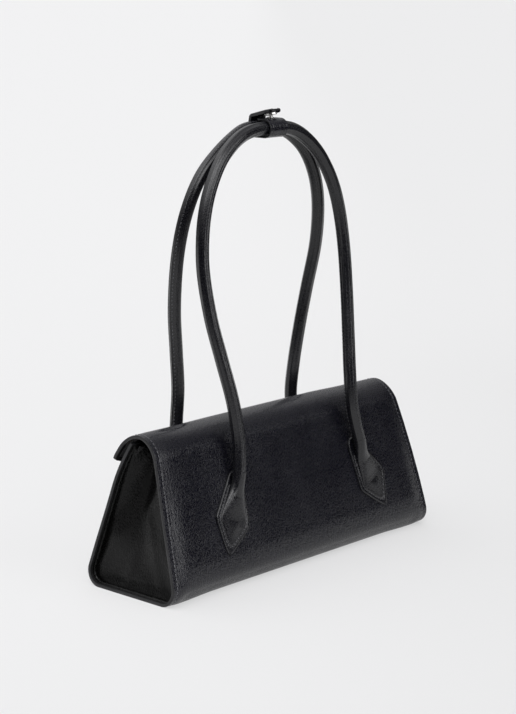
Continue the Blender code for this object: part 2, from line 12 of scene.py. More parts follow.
import bpy
import numpy as np
from mathutils import Matrix, Vector
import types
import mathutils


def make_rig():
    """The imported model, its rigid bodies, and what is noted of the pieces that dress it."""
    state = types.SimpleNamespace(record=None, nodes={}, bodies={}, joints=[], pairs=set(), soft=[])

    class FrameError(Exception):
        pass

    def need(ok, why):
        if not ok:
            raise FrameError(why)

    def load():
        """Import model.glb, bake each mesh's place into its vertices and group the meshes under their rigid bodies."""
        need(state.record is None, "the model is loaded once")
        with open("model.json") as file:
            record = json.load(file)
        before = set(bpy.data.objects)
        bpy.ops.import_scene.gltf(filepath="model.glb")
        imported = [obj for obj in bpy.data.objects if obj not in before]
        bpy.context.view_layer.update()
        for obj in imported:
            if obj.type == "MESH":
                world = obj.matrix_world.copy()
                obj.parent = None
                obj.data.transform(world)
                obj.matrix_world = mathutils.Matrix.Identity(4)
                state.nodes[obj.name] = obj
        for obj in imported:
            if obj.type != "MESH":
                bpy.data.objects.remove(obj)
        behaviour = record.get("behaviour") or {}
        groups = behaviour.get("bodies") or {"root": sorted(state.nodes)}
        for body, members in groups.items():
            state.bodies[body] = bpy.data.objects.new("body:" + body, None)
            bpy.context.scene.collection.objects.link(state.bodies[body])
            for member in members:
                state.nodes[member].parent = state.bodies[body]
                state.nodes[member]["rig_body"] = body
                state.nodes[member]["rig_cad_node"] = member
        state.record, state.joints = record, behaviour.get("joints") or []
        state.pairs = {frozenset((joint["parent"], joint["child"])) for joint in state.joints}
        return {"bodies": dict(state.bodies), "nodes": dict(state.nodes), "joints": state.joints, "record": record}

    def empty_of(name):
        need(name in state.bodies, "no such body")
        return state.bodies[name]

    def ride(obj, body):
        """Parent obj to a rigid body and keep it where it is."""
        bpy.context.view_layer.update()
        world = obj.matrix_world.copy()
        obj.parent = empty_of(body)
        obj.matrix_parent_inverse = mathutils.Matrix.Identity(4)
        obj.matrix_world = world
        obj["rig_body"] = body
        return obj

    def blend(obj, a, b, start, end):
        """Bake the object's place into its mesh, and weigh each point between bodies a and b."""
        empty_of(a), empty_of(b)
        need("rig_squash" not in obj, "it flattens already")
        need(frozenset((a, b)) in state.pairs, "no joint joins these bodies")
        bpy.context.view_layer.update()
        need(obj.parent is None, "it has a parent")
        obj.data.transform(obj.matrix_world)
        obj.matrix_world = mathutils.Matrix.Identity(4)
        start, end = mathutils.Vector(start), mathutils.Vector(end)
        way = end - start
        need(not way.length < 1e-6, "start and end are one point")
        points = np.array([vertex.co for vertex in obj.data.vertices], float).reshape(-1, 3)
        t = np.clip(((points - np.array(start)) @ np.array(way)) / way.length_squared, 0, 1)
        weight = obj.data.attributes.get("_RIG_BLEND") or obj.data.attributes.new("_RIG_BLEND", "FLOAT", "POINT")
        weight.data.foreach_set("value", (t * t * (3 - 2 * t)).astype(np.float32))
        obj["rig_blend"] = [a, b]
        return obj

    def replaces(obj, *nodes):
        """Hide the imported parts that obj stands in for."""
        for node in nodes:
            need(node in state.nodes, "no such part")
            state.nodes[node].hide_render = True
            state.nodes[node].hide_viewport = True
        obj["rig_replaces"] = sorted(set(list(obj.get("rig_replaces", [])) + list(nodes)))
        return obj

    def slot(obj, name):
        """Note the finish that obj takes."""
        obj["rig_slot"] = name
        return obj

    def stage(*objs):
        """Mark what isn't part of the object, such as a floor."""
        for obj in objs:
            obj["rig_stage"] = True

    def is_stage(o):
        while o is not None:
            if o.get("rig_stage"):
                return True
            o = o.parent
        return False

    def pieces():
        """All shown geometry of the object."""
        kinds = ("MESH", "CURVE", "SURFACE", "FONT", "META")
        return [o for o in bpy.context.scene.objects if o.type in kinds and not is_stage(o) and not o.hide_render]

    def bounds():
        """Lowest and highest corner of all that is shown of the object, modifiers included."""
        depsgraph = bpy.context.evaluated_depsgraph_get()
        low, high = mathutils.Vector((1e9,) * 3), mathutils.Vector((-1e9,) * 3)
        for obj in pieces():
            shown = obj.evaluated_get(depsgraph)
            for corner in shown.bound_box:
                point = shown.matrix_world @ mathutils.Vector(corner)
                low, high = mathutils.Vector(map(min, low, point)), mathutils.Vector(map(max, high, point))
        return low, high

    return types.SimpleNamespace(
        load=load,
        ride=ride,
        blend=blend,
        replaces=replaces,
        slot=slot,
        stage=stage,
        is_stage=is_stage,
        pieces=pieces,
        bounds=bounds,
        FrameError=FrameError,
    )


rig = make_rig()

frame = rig.load()
frame_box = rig.bounds()
log = logging.getLogger("shoulder_bag")

MM = 0.001

Array = np.ndarray
Pair = tuple[Array, Array]
Span = tuple[float, float]
Triple = tuple[float, float, float]
Numbers = tuple[float, ...]
Material = bpy.types.Material
Socket = bpy.types.NodeSocket


class Body(str, Enum):
    """Moving bodies of the bag."""

    BAG = "bag"
    FLAP = "flap"
    FRONT_HANDLE = "front_handle"
    REAR_HANDLE = "rear_handle"
    KEEPER_TAB = "keeper_tab"


class Layer(int, Enum):
    """Material slots of a sheet: its face, its cut edge and its back."""

    FACE = 0
    EDGE = 1
    BACK = 2


class Side(int, Enum):
    """Front (-Y) or rear (+Y) of the bag."""

    FRONT = -1
    REAR = 1

    @property
    def word(self) -> str:
        """The side's name in the names of pieces."""
        return self.name.lower()


class End(int, Enum):
    """Left (-X) or right (+X) end of the bag."""

    LEFT = -1
    RIGHT = 1

    @property
    def word(self) -> str:
        """The end's name in the names of pieces."""
        return self.name.lower()


class Map(str, Enum):
    """What a finish follows: the piece's own pattern, or its place in space."""

    PATTERN = "UV"
    OBJECT = "Object"


# Arrays and curves


def unit(vectors: Array) -> Array:
    """Vectors divided by their lengths."""
    return vectors / np.maximum(np.linalg.norm(vectors, axis=-1, keepdims=True), 1e-12)


def ease(value: Array, low: float, high: float) -> Array:
    """Smooth step: 0 below low, 1 above high, and 3t^2 - 2t^3 between them."""
    t = np.clip((np.asarray(value, float) - low) / (high - low), 0.0, 1.0)
    return t * t * (3.0 - 2.0 * t)


def hump(distance: Array, width: float) -> Array:
    """Bell curve: 1 at distance 0, and e^-1 at one width from it."""
    return np.exp(-((distance / width) ** 2))


def join_smoothly(first: Array, second: Array, blend: float) -> Array:
    """Larger of two heights, rounded where they cross over about the blend length."""
    gap = first - second
    return second + 0.5 * (gap + np.sqrt(gap * gap + blend * blend))


def stacked(*parts: Array) -> Array:
    """Arrays that fill each other out to one grid, side by side along a new last axis."""
    return np.stack(np.broadcast_arrays(*parts), -1)


def corners(grid: Array) -> Array:
    """Values at the four corners of each quad of a grid, in order round the quad."""
    return np.stack((grid[:-1, :-1], grid[:-1, 1:], grid[1:, 1:], grid[1:, :-1]), -1)


def arc_length(path: Array) -> Array:
    """Running length along a path of points."""
    steps = np.linalg.norm(np.diff(path, axis=0), axis=1)
    return np.concatenate(([0.0], np.cumsum(steps)))


def sample(path: Array, values: Array, at: Array) -> Array:
    """Values carried by a path, read at running lengths along it."""
    length = arc_length(path)
    return np.stack([np.interp(at, length, values[:, k]) for k in range(values.shape[1])], axis=1)


def through(points: Array, steps: int) -> Array:
    """Curve through points (Catmull-Rom): a cubic between each pair, whose slopes join the neighbours."""
    ends = np.concatenate((2 * points[:1] - points[1:2], points, 2 * points[-1:] - points[-2:-1]))
    p0, p1, p2, p3 = (ends[k:len(ends) - 3 + k, None, :] for k in range(4))
    t = (np.arange(steps) / steps)[None, :, None]
    square, cube = 2 * p0 - 5 * p1 + 4 * p2 - p3, 3 * p1 - p0 - 3 * p2 + p3
    curve = p1 + ((p2 - p0) * t + square * t**2 + cube * t**3) / 2
    return np.concatenate((curve.reshape(-1, points.shape[1]), points[-1:]))


def rings(middle: Array, first: Array, second: Array, angle: Array, radius: Array) -> Array:
    """Rings of points round a path: middle + radius * (cos a * first + sin a * second)."""
    way = np.cos(angle)[..., None] * first[:, None] + np.sin(angle)[..., None] * second[:, None]
    return middle[:, None] + radius[..., None] * way


def waves(u: Array, v: Array, seed: int, shortest: float, longest: float) -> Array:
    """Slow unevenness, mostly from -1 to 1: a quarter of the sum of ten plane waves drawn by a seed."""
    random = np.random.default_rng(seed)
    turns = random.uniform(0, 2 * math.pi, 10)
    phases = random.uniform(0, 2 * math.pi, 10)
    lengths = random.uniform(shortest, longest, 10)
    total = np.zeros(np.broadcast(u, v).shape)
    for turn, phase, length in zip(turns, phases, lengths):
        total = total + np.sin(2 * math.pi * (u * math.cos(turn) + v * math.sin(turn)) / length + phase)
    return total / 4.0


# Surfaces and closed bodies


def linked(name: str, data: bpy.types.ID) -> bpy.types.Object:
    """New object at the origin, linked into the scene."""
    item = bpy.data.objects.new(name, data)
    bpy.context.scene.collection.objects.link(item)
    return item


@dataclass
class Surface:
    """Open sheet of quads, with the pattern place (metres) of each quad's corners."""

    points: Array
    quads: Array
    pattern: Array

    @classmethod
    def grid(cls, points: Array, pattern: Array, closed: bool = False) -> "Surface":
        """Quads over a grid of points.

        Args:
            points: Grid of places, rows by columns by 3. Columns run to the right of rows, seen from outside.
            pattern: Grid of pattern places, rows by columns by 2, with one column more where the grid closes.
            closed: Whether the last column joins the first.

        Returns:
            The sheet, with outward quads.
        """
        index = np.arange(points.shape[0] * points.shape[1]).reshape(points.shape[:2])
        if closed:
            index = np.concatenate((index, index[:, :1]), 1)
        places = np.moveaxis(corners(pattern), -1, 2)
        return cls(points.reshape(-1, 3), corners(index).reshape(-1, 4), places.reshape(-1, 4, 2))

    def normals(self) -> Array:
        """Outward direction at each point: the sum of its quads' diagonal products, made one long."""
        a, b, c, d = (self.points[self.quads[:, k]] for k in range(4))
        face = np.cross(c - a, d - b)
        total = np.zeros_like(self.points)
        for k in range(4):
            np.add.at(total, self.quads[:, k], face)
        return unit(total)

    def turned(self) -> "Surface":
        """The same sheet, seen from its other side."""
        return Surface(self.points, self.quads[:, ::-1], self.pattern[:, ::-1])

    def shell(self, thickness: Array | float, rim_steps: int = 6, roundness: float = 0.35) -> "Solid":
        """Closed body that grows inwards from the sheet.

        Each back point is its face point less its normal times the thickness. Along the free edges, rings of
        points go from face to back on half a squared ellipse: middle + half * c + bulge * s, where c and s
        are the square roots of |cos a|, with the cosine's sign, and of sin a.

        Args:
            thickness: Thickness at each point, or one for all.
            rim_steps: Number of quads round the cut edge.
            roundness: Bulge of the cut edge as a share of half the thickness.

        Returns:
            The closed body, with face, edge and back slots.
        """
        normal = self.normals()
        back = self.points - normal * np.reshape(thickness, (-1, 1))
        count = len(self.points)
        start = self.quads.ravel()
        end = np.roll(self.quads, -1, axis=1).ravel()
        key = np.minimum(start, end).astype(np.int64) * count + np.maximum(start, end)
        _, inverse, uses = np.unique(key, return_inverse=True, return_counts=True)
        free = np.flatnonzero(uses[inverse] == 1)
        a, b = start[free], end[free]
        along = unit(self.points[b] - self.points[a])
        out = np.zeros_like(self.points)
        np.add.at(out, a, np.cross(along, normal[a]))
        np.add.at(out, b, np.cross(along, normal[b]))
        rim = np.unique(a)
        place = np.full(count, -1)
        place[rim] = np.arange(len(rim))
        half = (self.points[rim] - back[rim]) / 2
        bulge = unit(out[rim]) * np.linalg.norm(half, axis=1, keepdims=True) * roundness
        levels, layers = [self.points, back], [np.arange(count)]
        for step in range(1, rim_steps):
            angle = math.pi * step / rim_steps
            turn = math.copysign(math.sqrt(abs(math.cos(angle))), math.cos(angle))
            levels.append(self.points[rim] - half + half * turn + bulge * math.sqrt(math.sin(angle)))
            layers.append(2 * count + (step - 1) * len(rim) + place)
        layers.append(np.arange(count) + count)
        edge_quads = [np.stack((up[b], up[a], low[a], low[b]), 1) for up, low in zip(layers, layers[1:])]
        place_a = self.pattern.reshape(-1, 2)[free]
        place_b = np.roll(self.pattern, -1, axis=1).reshape(-1, 2)[free]
        edge_pattern = np.stack((place_b, place_a, place_a, place_b), 1)
        quads = np.concatenate([self.quads, (self.quads + count)[:, ::-1], *edge_quads])
        pattern = np.concatenate([self.pattern, self.pattern[:, ::-1], *[edge_pattern] * len(edge_quads)])
        faces = len(self.quads)
        slots = np.repeat([int(layer) for layer in (Layer.FACE, Layer.BACK, Layer.EDGE)],
                          (faces, faces, len(quads) - 2 * faces))
        return Solid(np.concatenate(levels), quads, pattern, slots)


@dataclass
class Solid:
    """Closed body of quads and triangles, ready to become a mesh."""

    points: Array
    quads: Array
    pattern: Array
    slots: Array
    caps: Array = field(default_factory=lambda: np.zeros((0, 3), int))

    @classmethod
    def loft(cls, sections: Array, pattern: Array) -> "Solid":
        """Body through closed sections, with a fan of triangles over its first and last section."""
        sheet = Surface.grid(sections, pattern, closed=True)
        count, columns = len(sheet.points), sections.shape[1]
        points = np.concatenate((sheet.points, [sections[0].mean(0), sections[-1].mean(0)]))
        ring = np.arange(columns)
        following, last_row = np.roll(ring, -1), count - columns
        first = stacked(following, ring, count)
        last = stacked(last_row + ring, last_row + following, count + 1)
        slots = np.zeros(len(sheet.quads), int)
        return cls(points, sheet.quads, sheet.pattern, slots, np.concatenate((first, last)))

    def joined(self, other: "Solid") -> "Solid":
        """Both bodies as one."""
        shift = len(self.points)
        mine = (self.points, self.quads, self.pattern, self.slots, self.caps)
        theirs = (other.points, other.quads + shift, other.pattern, other.slots, other.caps + shift)
        return Solid(*(np.concatenate(pair) for pair in zip(mine, theirs)))

    def piece(self, name: str, finishes: list[Material], sharp: float = 50.0) -> bpy.types.Object:
        """Put the body into the scene.

        Args:
            name: Name of the piece.
            finishes: Materials of its slots.
            sharp: Angle in degrees above which an edge is shaded as a sharp one.

        Returns:
            The new object, at the origin.
        """
        mesh = bpy.data.meshes.new(name)
        mesh.from_pydata(self.points.tolist(), [], self.quads.tolist() + self.caps.tolist())
        layer = mesh.uv_layers.new(name="pattern")
        flat = np.concatenate((self.pattern.reshape(-1, 2), np.zeros((len(self.caps) * 3, 2))))
        layer.data.foreach_set("uv", flat.astype(np.float32).ravel())
        slots = np.concatenate((self.slots, np.zeros(len(self.caps), int)))
        mesh.polygons.foreach_set("material_index", slots.astype(np.int32))
        mesh.polygons.foreach_set("use_smooth", np.ones(len(slots), bool))
        for finish in finishes:
            mesh.materials.append(finish)
        mesh.set_sharp_from_angle(angle=math.radians(sharp))
        mesh.update()
        log.info("%s: %d faces", name, len(slots))
        return linked(name, mesh)


# Finishes


class Nodes:
    """Node tree that is built up step by step."""

    def __init__(self, tree: bpy.types.NodeTree) -> None:
        """Take up a tree."""
        self.tree = tree

    def put(self, socket: Socket, value: object) -> None:
        """Link a socket to another, or set its own value."""
        if isinstance(value, Socket):
            self.tree.links.new(value, socket)
        else:
            socket.default_value = value

    def fill(self, node: bpy.types.Node, inputs: dict[str | int, object]) -> None:
        """Link or set the inputs of a node."""
        for key, value in inputs.items():
            self.put(node.inputs[key], value)

    def node(self, kind: str, inputs: dict[str | int, object], **settings: object) -> bpy.types.Node:
        """Add a node with its settings, and fill its inputs."""
        made = self.tree.nodes.new("ShaderNode" + kind)
        for key, value in settings.items():
            setattr(made, key, value)
        self.fill(made, inputs)
        return made

    def maths(self, kind: str, first: object, second: object = 0.0) -> Socket:
        """Result of a Math node, such as SUBTRACT or SINE."""
        return self.node("Math", {0: first, 1: second}, operation=kind).outputs[0]

    def add(self, first: object, second: object) -> Socket:
        """Sum of two values."""
        return self.maths("ADD", first, second)

    def times(self, first: object, second: object) -> Socket:
        """Product of two values."""
        return self.maths("MULTIPLY", first, second)

    def span(self, value: object, low: float, high: float, start: float = 0.0, end: float = 1.0) -> Socket:
        """Value mapped smoothly from the range low to high to the range start to end."""
        inputs = {"Value": value, "From Min": low, "From Max": high, "To Min": start, "To Max": end}
        return self.node("MapRange", inputs, interpolation_type="SMOOTHSTEP").outputs[0]

    def mix(self, share: object, first: Triple, second: Triple) -> Socket:
        """Colour between two colours."""
        return self.node("Mix", {0: share, 6: (*first, 1.0), 7: (*second, 1.0)}, data_type="RGBA").outputs[2]

    def place(self, on: Map, scale: Triple = (1.0, 1.0, 1.0)) -> Socket:
        """Place on the pattern or on the object, scaled."""
        coordinates = self.node("TexCoord", {}).outputs[on.value]
        return self.node("Mapping", {"Vector": coordinates, "Scale": scale}).outputs[0]

    def noise(self, place: object, scale: float, detail: float = 2.0, output: str = "Fac") -> Socket:
        """Noise from 0 to 1, or its colour."""
        return self.node("TexNoise", {"Vector": place, "Scale": scale, "Detail": detail}).outputs[output]


class Shader(Nodes):
    """Material with a Principled shader."""

    def __init__(self, name: str) -> None:
        """Start a material."""
        self.material = bpy.data.materials.new(name)
        self.material.use_nodes = True
        super().__init__(self.material.node_tree)
        self.surface = self.tree.nodes["Principled BSDF"]

    def dressed(self, height: object, depth: float, inputs: dict[str, object]) -> Material:
        """Finish the material: fill the shader, and raise it by a height (0 to 1) times a depth in metres."""
        self.fill(self.surface, inputs)
        bump = self.node("Bump", {"Height": height, "Distance": depth, "Strength": 1.0})
        self.put(self.surface.inputs["Normal"], bump.outputs[0])
        return self.material


@dataclass(frozen=True)
class Leather:
    """Grained leather: pebbles with creases between them, long strands, fine pores and a slow unevenness.

    A pebble is a width, stretch its length over its width, and strands are measured in pebbles. Pores and
    strands have a share each of the depth, and the pebbles have what is left.
    """

    name: str
    colour: Triple = (0.0026, 0.0026, 0.0058)
    worn: Triple = (0.0055, 0.0055, 0.0102)
    roughness: float = 0.22
    specular: float = 0.5
    pebble: float = 1.4 * MM
    stretch: float = 1.9
    depth: float = 0.19 * MM
    fine: float = 0.10
    strand: float = 0.60
    strand_width: float = 0.95
    strand_length: float = 3.4
    coat: float = 0.0
    waver: float = 0.9
    crease_width: float = 0.28
    pore_scale: float = 3.2
    broad_scale: float = 0.045

    def material(self) -> Material:
        """Build the leather: cells parted by creases, strands, pores, and roughness that follows them."""
        s = Shader(self.name)
        place = s.place(Map.PATTERN, (1 / self.pebble, 1 / (self.pebble * self.stretch), 1 / self.pebble))
        shift = s.noise(place, self.waver, output="Color")
        moved = s.node("VectorMath", {0: shift, 3: self.waver}, operation="SCALE").outputs[0]
        moved = s.node("VectorMath", {0: place, 1: moved}, operation="ADD").outputs[0]
        cells = s.node("TexVoronoi", {"Vector": moved, "Scale": 1.0}, feature="DISTANCE_TO_EDGE",
                       voronoi_dimensions="2D")
        pebbles = s.span(cells.outputs["Distance"], 0.0, self.crease_width)
        pores = s.noise(place, self.pore_scale, 3.0)
        broad = s.noise(place, self.broad_scale)
        wide, long = 1 / (self.strand_width * self.pebble), 1 / (self.strand_length * self.pebble)
        strands = s.span(s.noise(s.place(Map.PATTERN, (wide, long, wide)), 1.0, 1.5), 0.3, 0.7)
        high = s.add(s.times(pebbles, 1.0 - self.fine - self.strand), s.times(pores, self.fine))
        high = s.add(high, s.times(strands, self.strand))
        wear = s.times(s.span(broad, 0.35, 0.75, 0.15, 0.8), pebbles)
        dull = s.add(s.span(broad, 0.3, 0.7, -0.03, 0.05), s.span(pebbles, 0.0, 1.0, 0.14, 0.0))
        return s.dressed(high, self.depth, {
            "Base Color": s.mix(wear, self.colour, self.worn), "Roughness": s.add(dull, self.roughness),
            "Specular IOR Level": self.specular, "Coat Weight": self.coat, "Coat Roughness": 0.3})


@dataclass(frozen=True)
class EdgePaint:
    """Painted leather edge: an even coat with slight brush waves."""

    name: str = "edge_paint"
    colour: Triple = (0.011, 0.011, 0.012)
    lit: Triple = (0.019, 0.019, 0.021)
    roughness: float = 0.34

    def material(self) -> Material:
        """Build the paint from two noises on object coordinates."""
        s = Shader(self.name)
        place = s.place(Map.OBJECT)
        brush = s.noise(place, 260.0)
        patches = s.span(s.noise(place, 60.0), 0.35, 0.65)
        return s.dressed(brush, 0.05 * MM, {
            "Base Color": s.mix(patches, self.colour, self.lit), "Specular IOR Level": 0.4,
            "Roughness": s.span(brush, 0.3, 0.7, self.roughness - 0.06, self.roughness + 0.1)})


@dataclass(frozen=True)
class Yarn:
    """Twisted yarn, such as waxed sewing thread: slanting plies, so many to a metre."""

    name: str = "waxed_thread"
    # These colours are lighter than the black thread itself, which paints part of the stitches' glints; the lit one is
    # a painted highlight on the ply crests.
    colour: Triple = (0.045, 0.045, 0.050)
    lit: Triple = (0.160, 0.160, 0.172)
    plies: float = 500.0
    waver: float = 0.6
    roughness: float = 0.30
    depth: float = 0.05 * MM

    def material(self) -> Material:
        """Build the plies from a slanting wave on the pattern, with a painted highlight on each ply's crest."""
        s = Shader(self.name)
        inputs = {"Vector": s.place(Map.PATTERN), "Scale": self.plies, "Distortion": self.waver}
        ply = s.node("TexWave", inputs, bands_direction="DIAGONAL").outputs[1]
        # Painted highlight: the crest of each ply takes the lighter colour.
        colour = s.mix(ply, self.colour, self.lit)
        return s.dressed(ply, self.depth, {"Base Color": colour, "Roughness": self.roughness})


@dataclass(frozen=True)
class Cloth:
    """Plain woven lining: warp and weft threads that go over and under each other."""

    name: str = "lining_cloth"
    colour: Triple = (0.006, 0.006, 0.0065)
    lit: Triple = (0.015, 0.015, 0.016)
    thread: float = 0.42 * MM

    def material(self) -> Material:
        """Build the weave: two crossing waves, which are on top by turns; the thread on top takes the lighter colour,
        a painted highlight.
        """
        s = Shader(self.name)
        place = s.place(Map.PATTERN, (1 / self.thread, 1 / self.thread, 1.0))
        parts = s.node("SeparateXYZ", {0: place}).outputs
        warp, weft = (s.maths("ABSOLUTE", s.maths("SINE", s.times(parts[k], math.pi))) for k in range(2))
        check = s.node("TexChecker", {"Vector": place, "Scale": 1.0}).outputs[1]
        over = s.add(s.times(warp, check), s.times(weft, s.maths("SUBTRACT", 1.0, check)))
        # Painted highlight: the thread that lies on top is coloured lighter.
        return s.dressed(over, 0.12 * MM, {
            "Base Color": s.mix(over, self.colour, self.lit), "Roughness": 0.85, "Sheen Weight": 0.1})


@dataclass(frozen=True)
class Board:
    """Pressed fibre board with specks of fibre."""

    name: str = "fibre_board"
    colour: Triple = (0.20, 0.155, 0.105)
    lit: Triple = (0.34, 0.28, 0.20)

    def material(self) -> Material:
        """Build the board from a stretched noise on object coordinates."""
        s = Shader(self.name)
        fibre = s.noise(s.place(Map.OBJECT, (300.0, 900.0, 900.0)), 1.0, 4.0)
        colour = s.mix(s.span(fibre, 0.35, 0.65), self.colour, self.lit)
        return s.dressed(fibre, 0.1 * MM, {"Base Color": colour, "Roughness": 0.85})


@dataclass(frozen=True)
class Metal:
    """Plated metal with fine turning marks."""

    name: str = "plated_steel"
    colour: Triple = (0.78, 0.77, 0.75)
    dull: Triple = (0.60, 0.59, 0.57)
    roughness: float = 0.2

    def material(self) -> Material:
        """Build the metal from fine and broad noise on object coordinates."""
        s = Shader(self.name)
        marks = s.noise(s.place(Map.OBJECT, (4000.0, 4000.0, 9000.0)), 1.0)
        cloud = s.noise(s.place(Map.OBJECT, (150.0, 150.0, 150.0)), 1.0)
        return s.dressed(marks, 0.01 * MM, {
            "Base Color": s.mix(cloud, self.dull, self.colour), "Metallic": 1.0,
            "Roughness": s.span(marks, 0.3, 0.7, self.roughness, self.roughness + 0.15)})


class Finishes:
    """All materials of the bag."""

    def __init__(self) -> None:
        """Build each finish once."""
        rolled = {"colour": (0.0030, 0.0030, 0.0048), "worn": (0.0060, 0.0060, 0.0084), "pebble": 1.0 * MM,
                  "stretch": 2.6, "coat": 0.1}
        self.pebbled = Leather("pebbled_leather").material()
        # The gusset is the body's leather, but its colours are darker: this paints part of the shade that falls in the
        # recessed ends.
        self.gusset = Leather(
            "gusset_leather", colour=(0.0010, 0.0010, 0.0010), worn=(0.0022, 0.0022, 0.0021), roughness=0.24,
            specular=0.20, pebble=1.3 * MM, depth=0.17 * MM).material()
        self.smooth = Leather(
            "handle_leather", roughness=0.17, depth=0.12 * MM, fine=0.12, strand=0.72, strand_length=44.0,
            **rolled).material()
        self.tab = Leather(
            "tab_leather", roughness=0.18, depth=0.08 * MM, fine=0.2, strand=0.5, **rolled).material()
        self.suede = Leather(
            "leather_back", colour=(0.008, 0.008, 0.0083), worn=(0.014, 0.014, 0.0143), roughness=0.85,
            specular=0.2, pebble=0.5 * MM, depth=0.08 * MM, fine=0.5, strand=0.1).material()
        self.edge = EdgePaint().material()
        self.thread = Yarn().material()
        self.cloth = Cloth().material()
        self.board = Board().material()
        self.steel = Metal().material()
        self.magnet = Metal("nickel_plate", (0.62, 0.60, 0.56), (0.48, 0.46, 0.43), 0.3).material()
        self.rope = Yarn(
            "cotton_rope", (0.42, 0.37, 0.29), (0.66, 0.61, 0.52), plies=260.0, waver=1.5, roughness=0.9,
            depth=0.15 * MM).material()


# Stitching


@dataclass(frozen=True)
class StitchRow:
    """Row of lock stitches: short threads that dip into the leather at both ends."""

    pitch: float = 3.3 * MM
    length: float = 2.5 * MM
    radius: float = 0.30 * MM
    stand: float = 0.65
    sink: float = 1.5
    end_sink: float = 0.85
    sides: int = 8
    rings: int = 5

    def along(self, path: Array, normals: Array, clear: float = 0.0) -> Solid:
        """Repeat one stitch along a path.

        Each stitch is a capsule. At place t of its length, from -1 to 1, its girth is radius * sqrt(1 - t^4)
        and its middle stands (stand - sink * t^2) radii above the leather. Its two ends are a point each, set
        in deeper.

        Args:
            path: Places of the seam, in order.
            normals: Outward directions at these places.
            clear: Length that is left free at both ends.

        Returns:
            All stitches as one body of separate closed threads.
        """
        total = arc_length(path)[-1] - 2 * clear
        count = max(1, int(total // self.pitch))
        at = clear + (np.arange(count) + 0.5) * total / count
        middle = sample(path, path, at)
        up = unit(sample(path, normals, at))
        along = unit(sample(path, path, at + 0.4 * self.pitch) - sample(path, path, at - 0.4 * self.pitch))
        across = np.cross(up, along)
        angle = np.linspace(0, 2 * math.pi, self.sides, endpoint=False)
        place = 2 * np.linspace(0.02, 0.98, self.rings) - 1
        girth = self.radius * np.sqrt(1 - place**4)
        rise = np.repeat(self.stand - self.sink * place**2, self.sides) * self.radius
        half = self.length / 2
        x = np.concatenate((np.repeat(place * self.length / 2, self.sides), (-half, half)))
        y = np.concatenate((np.outer(girth, np.cos(angle)).ravel(), (0.0, 0.0)))
        z = np.outer(girth, np.sin(angle)).ravel() + rise
        z = np.concatenate((z, [-self.end_sink * self.radius] * 2))
        points = middle[:, None] + along[:, None] * x[:, None]
        points = points + across[:, None] * y[:, None] + up[:, None] * z[:, None]
        body = self.template()
        size = points.shape[1]
        shift = (np.arange(count) * size)[:, None, None]
        quads = (body.quads[None] + shift).reshape(-1, 4)
        caps = (body.caps[None] + shift).reshape(-1, 3)
        pattern = np.tile(body.pattern, (count, 1, 1))
        return Solid(points.reshape(-1, 3), quads, pattern, np.zeros(len(quads), int), caps)

    def template(self) -> Solid:
        """Faces of one stitch."""
        sections = np.zeros((self.rings, self.sides, 3))
        u = np.arange(self.sides + 1) * 0.2 * MM
        v = np.arange(self.rings) * self.length / self.rings
        return Solid.loft(sections, stacked(u, v[:, None]))


# Section of the bag


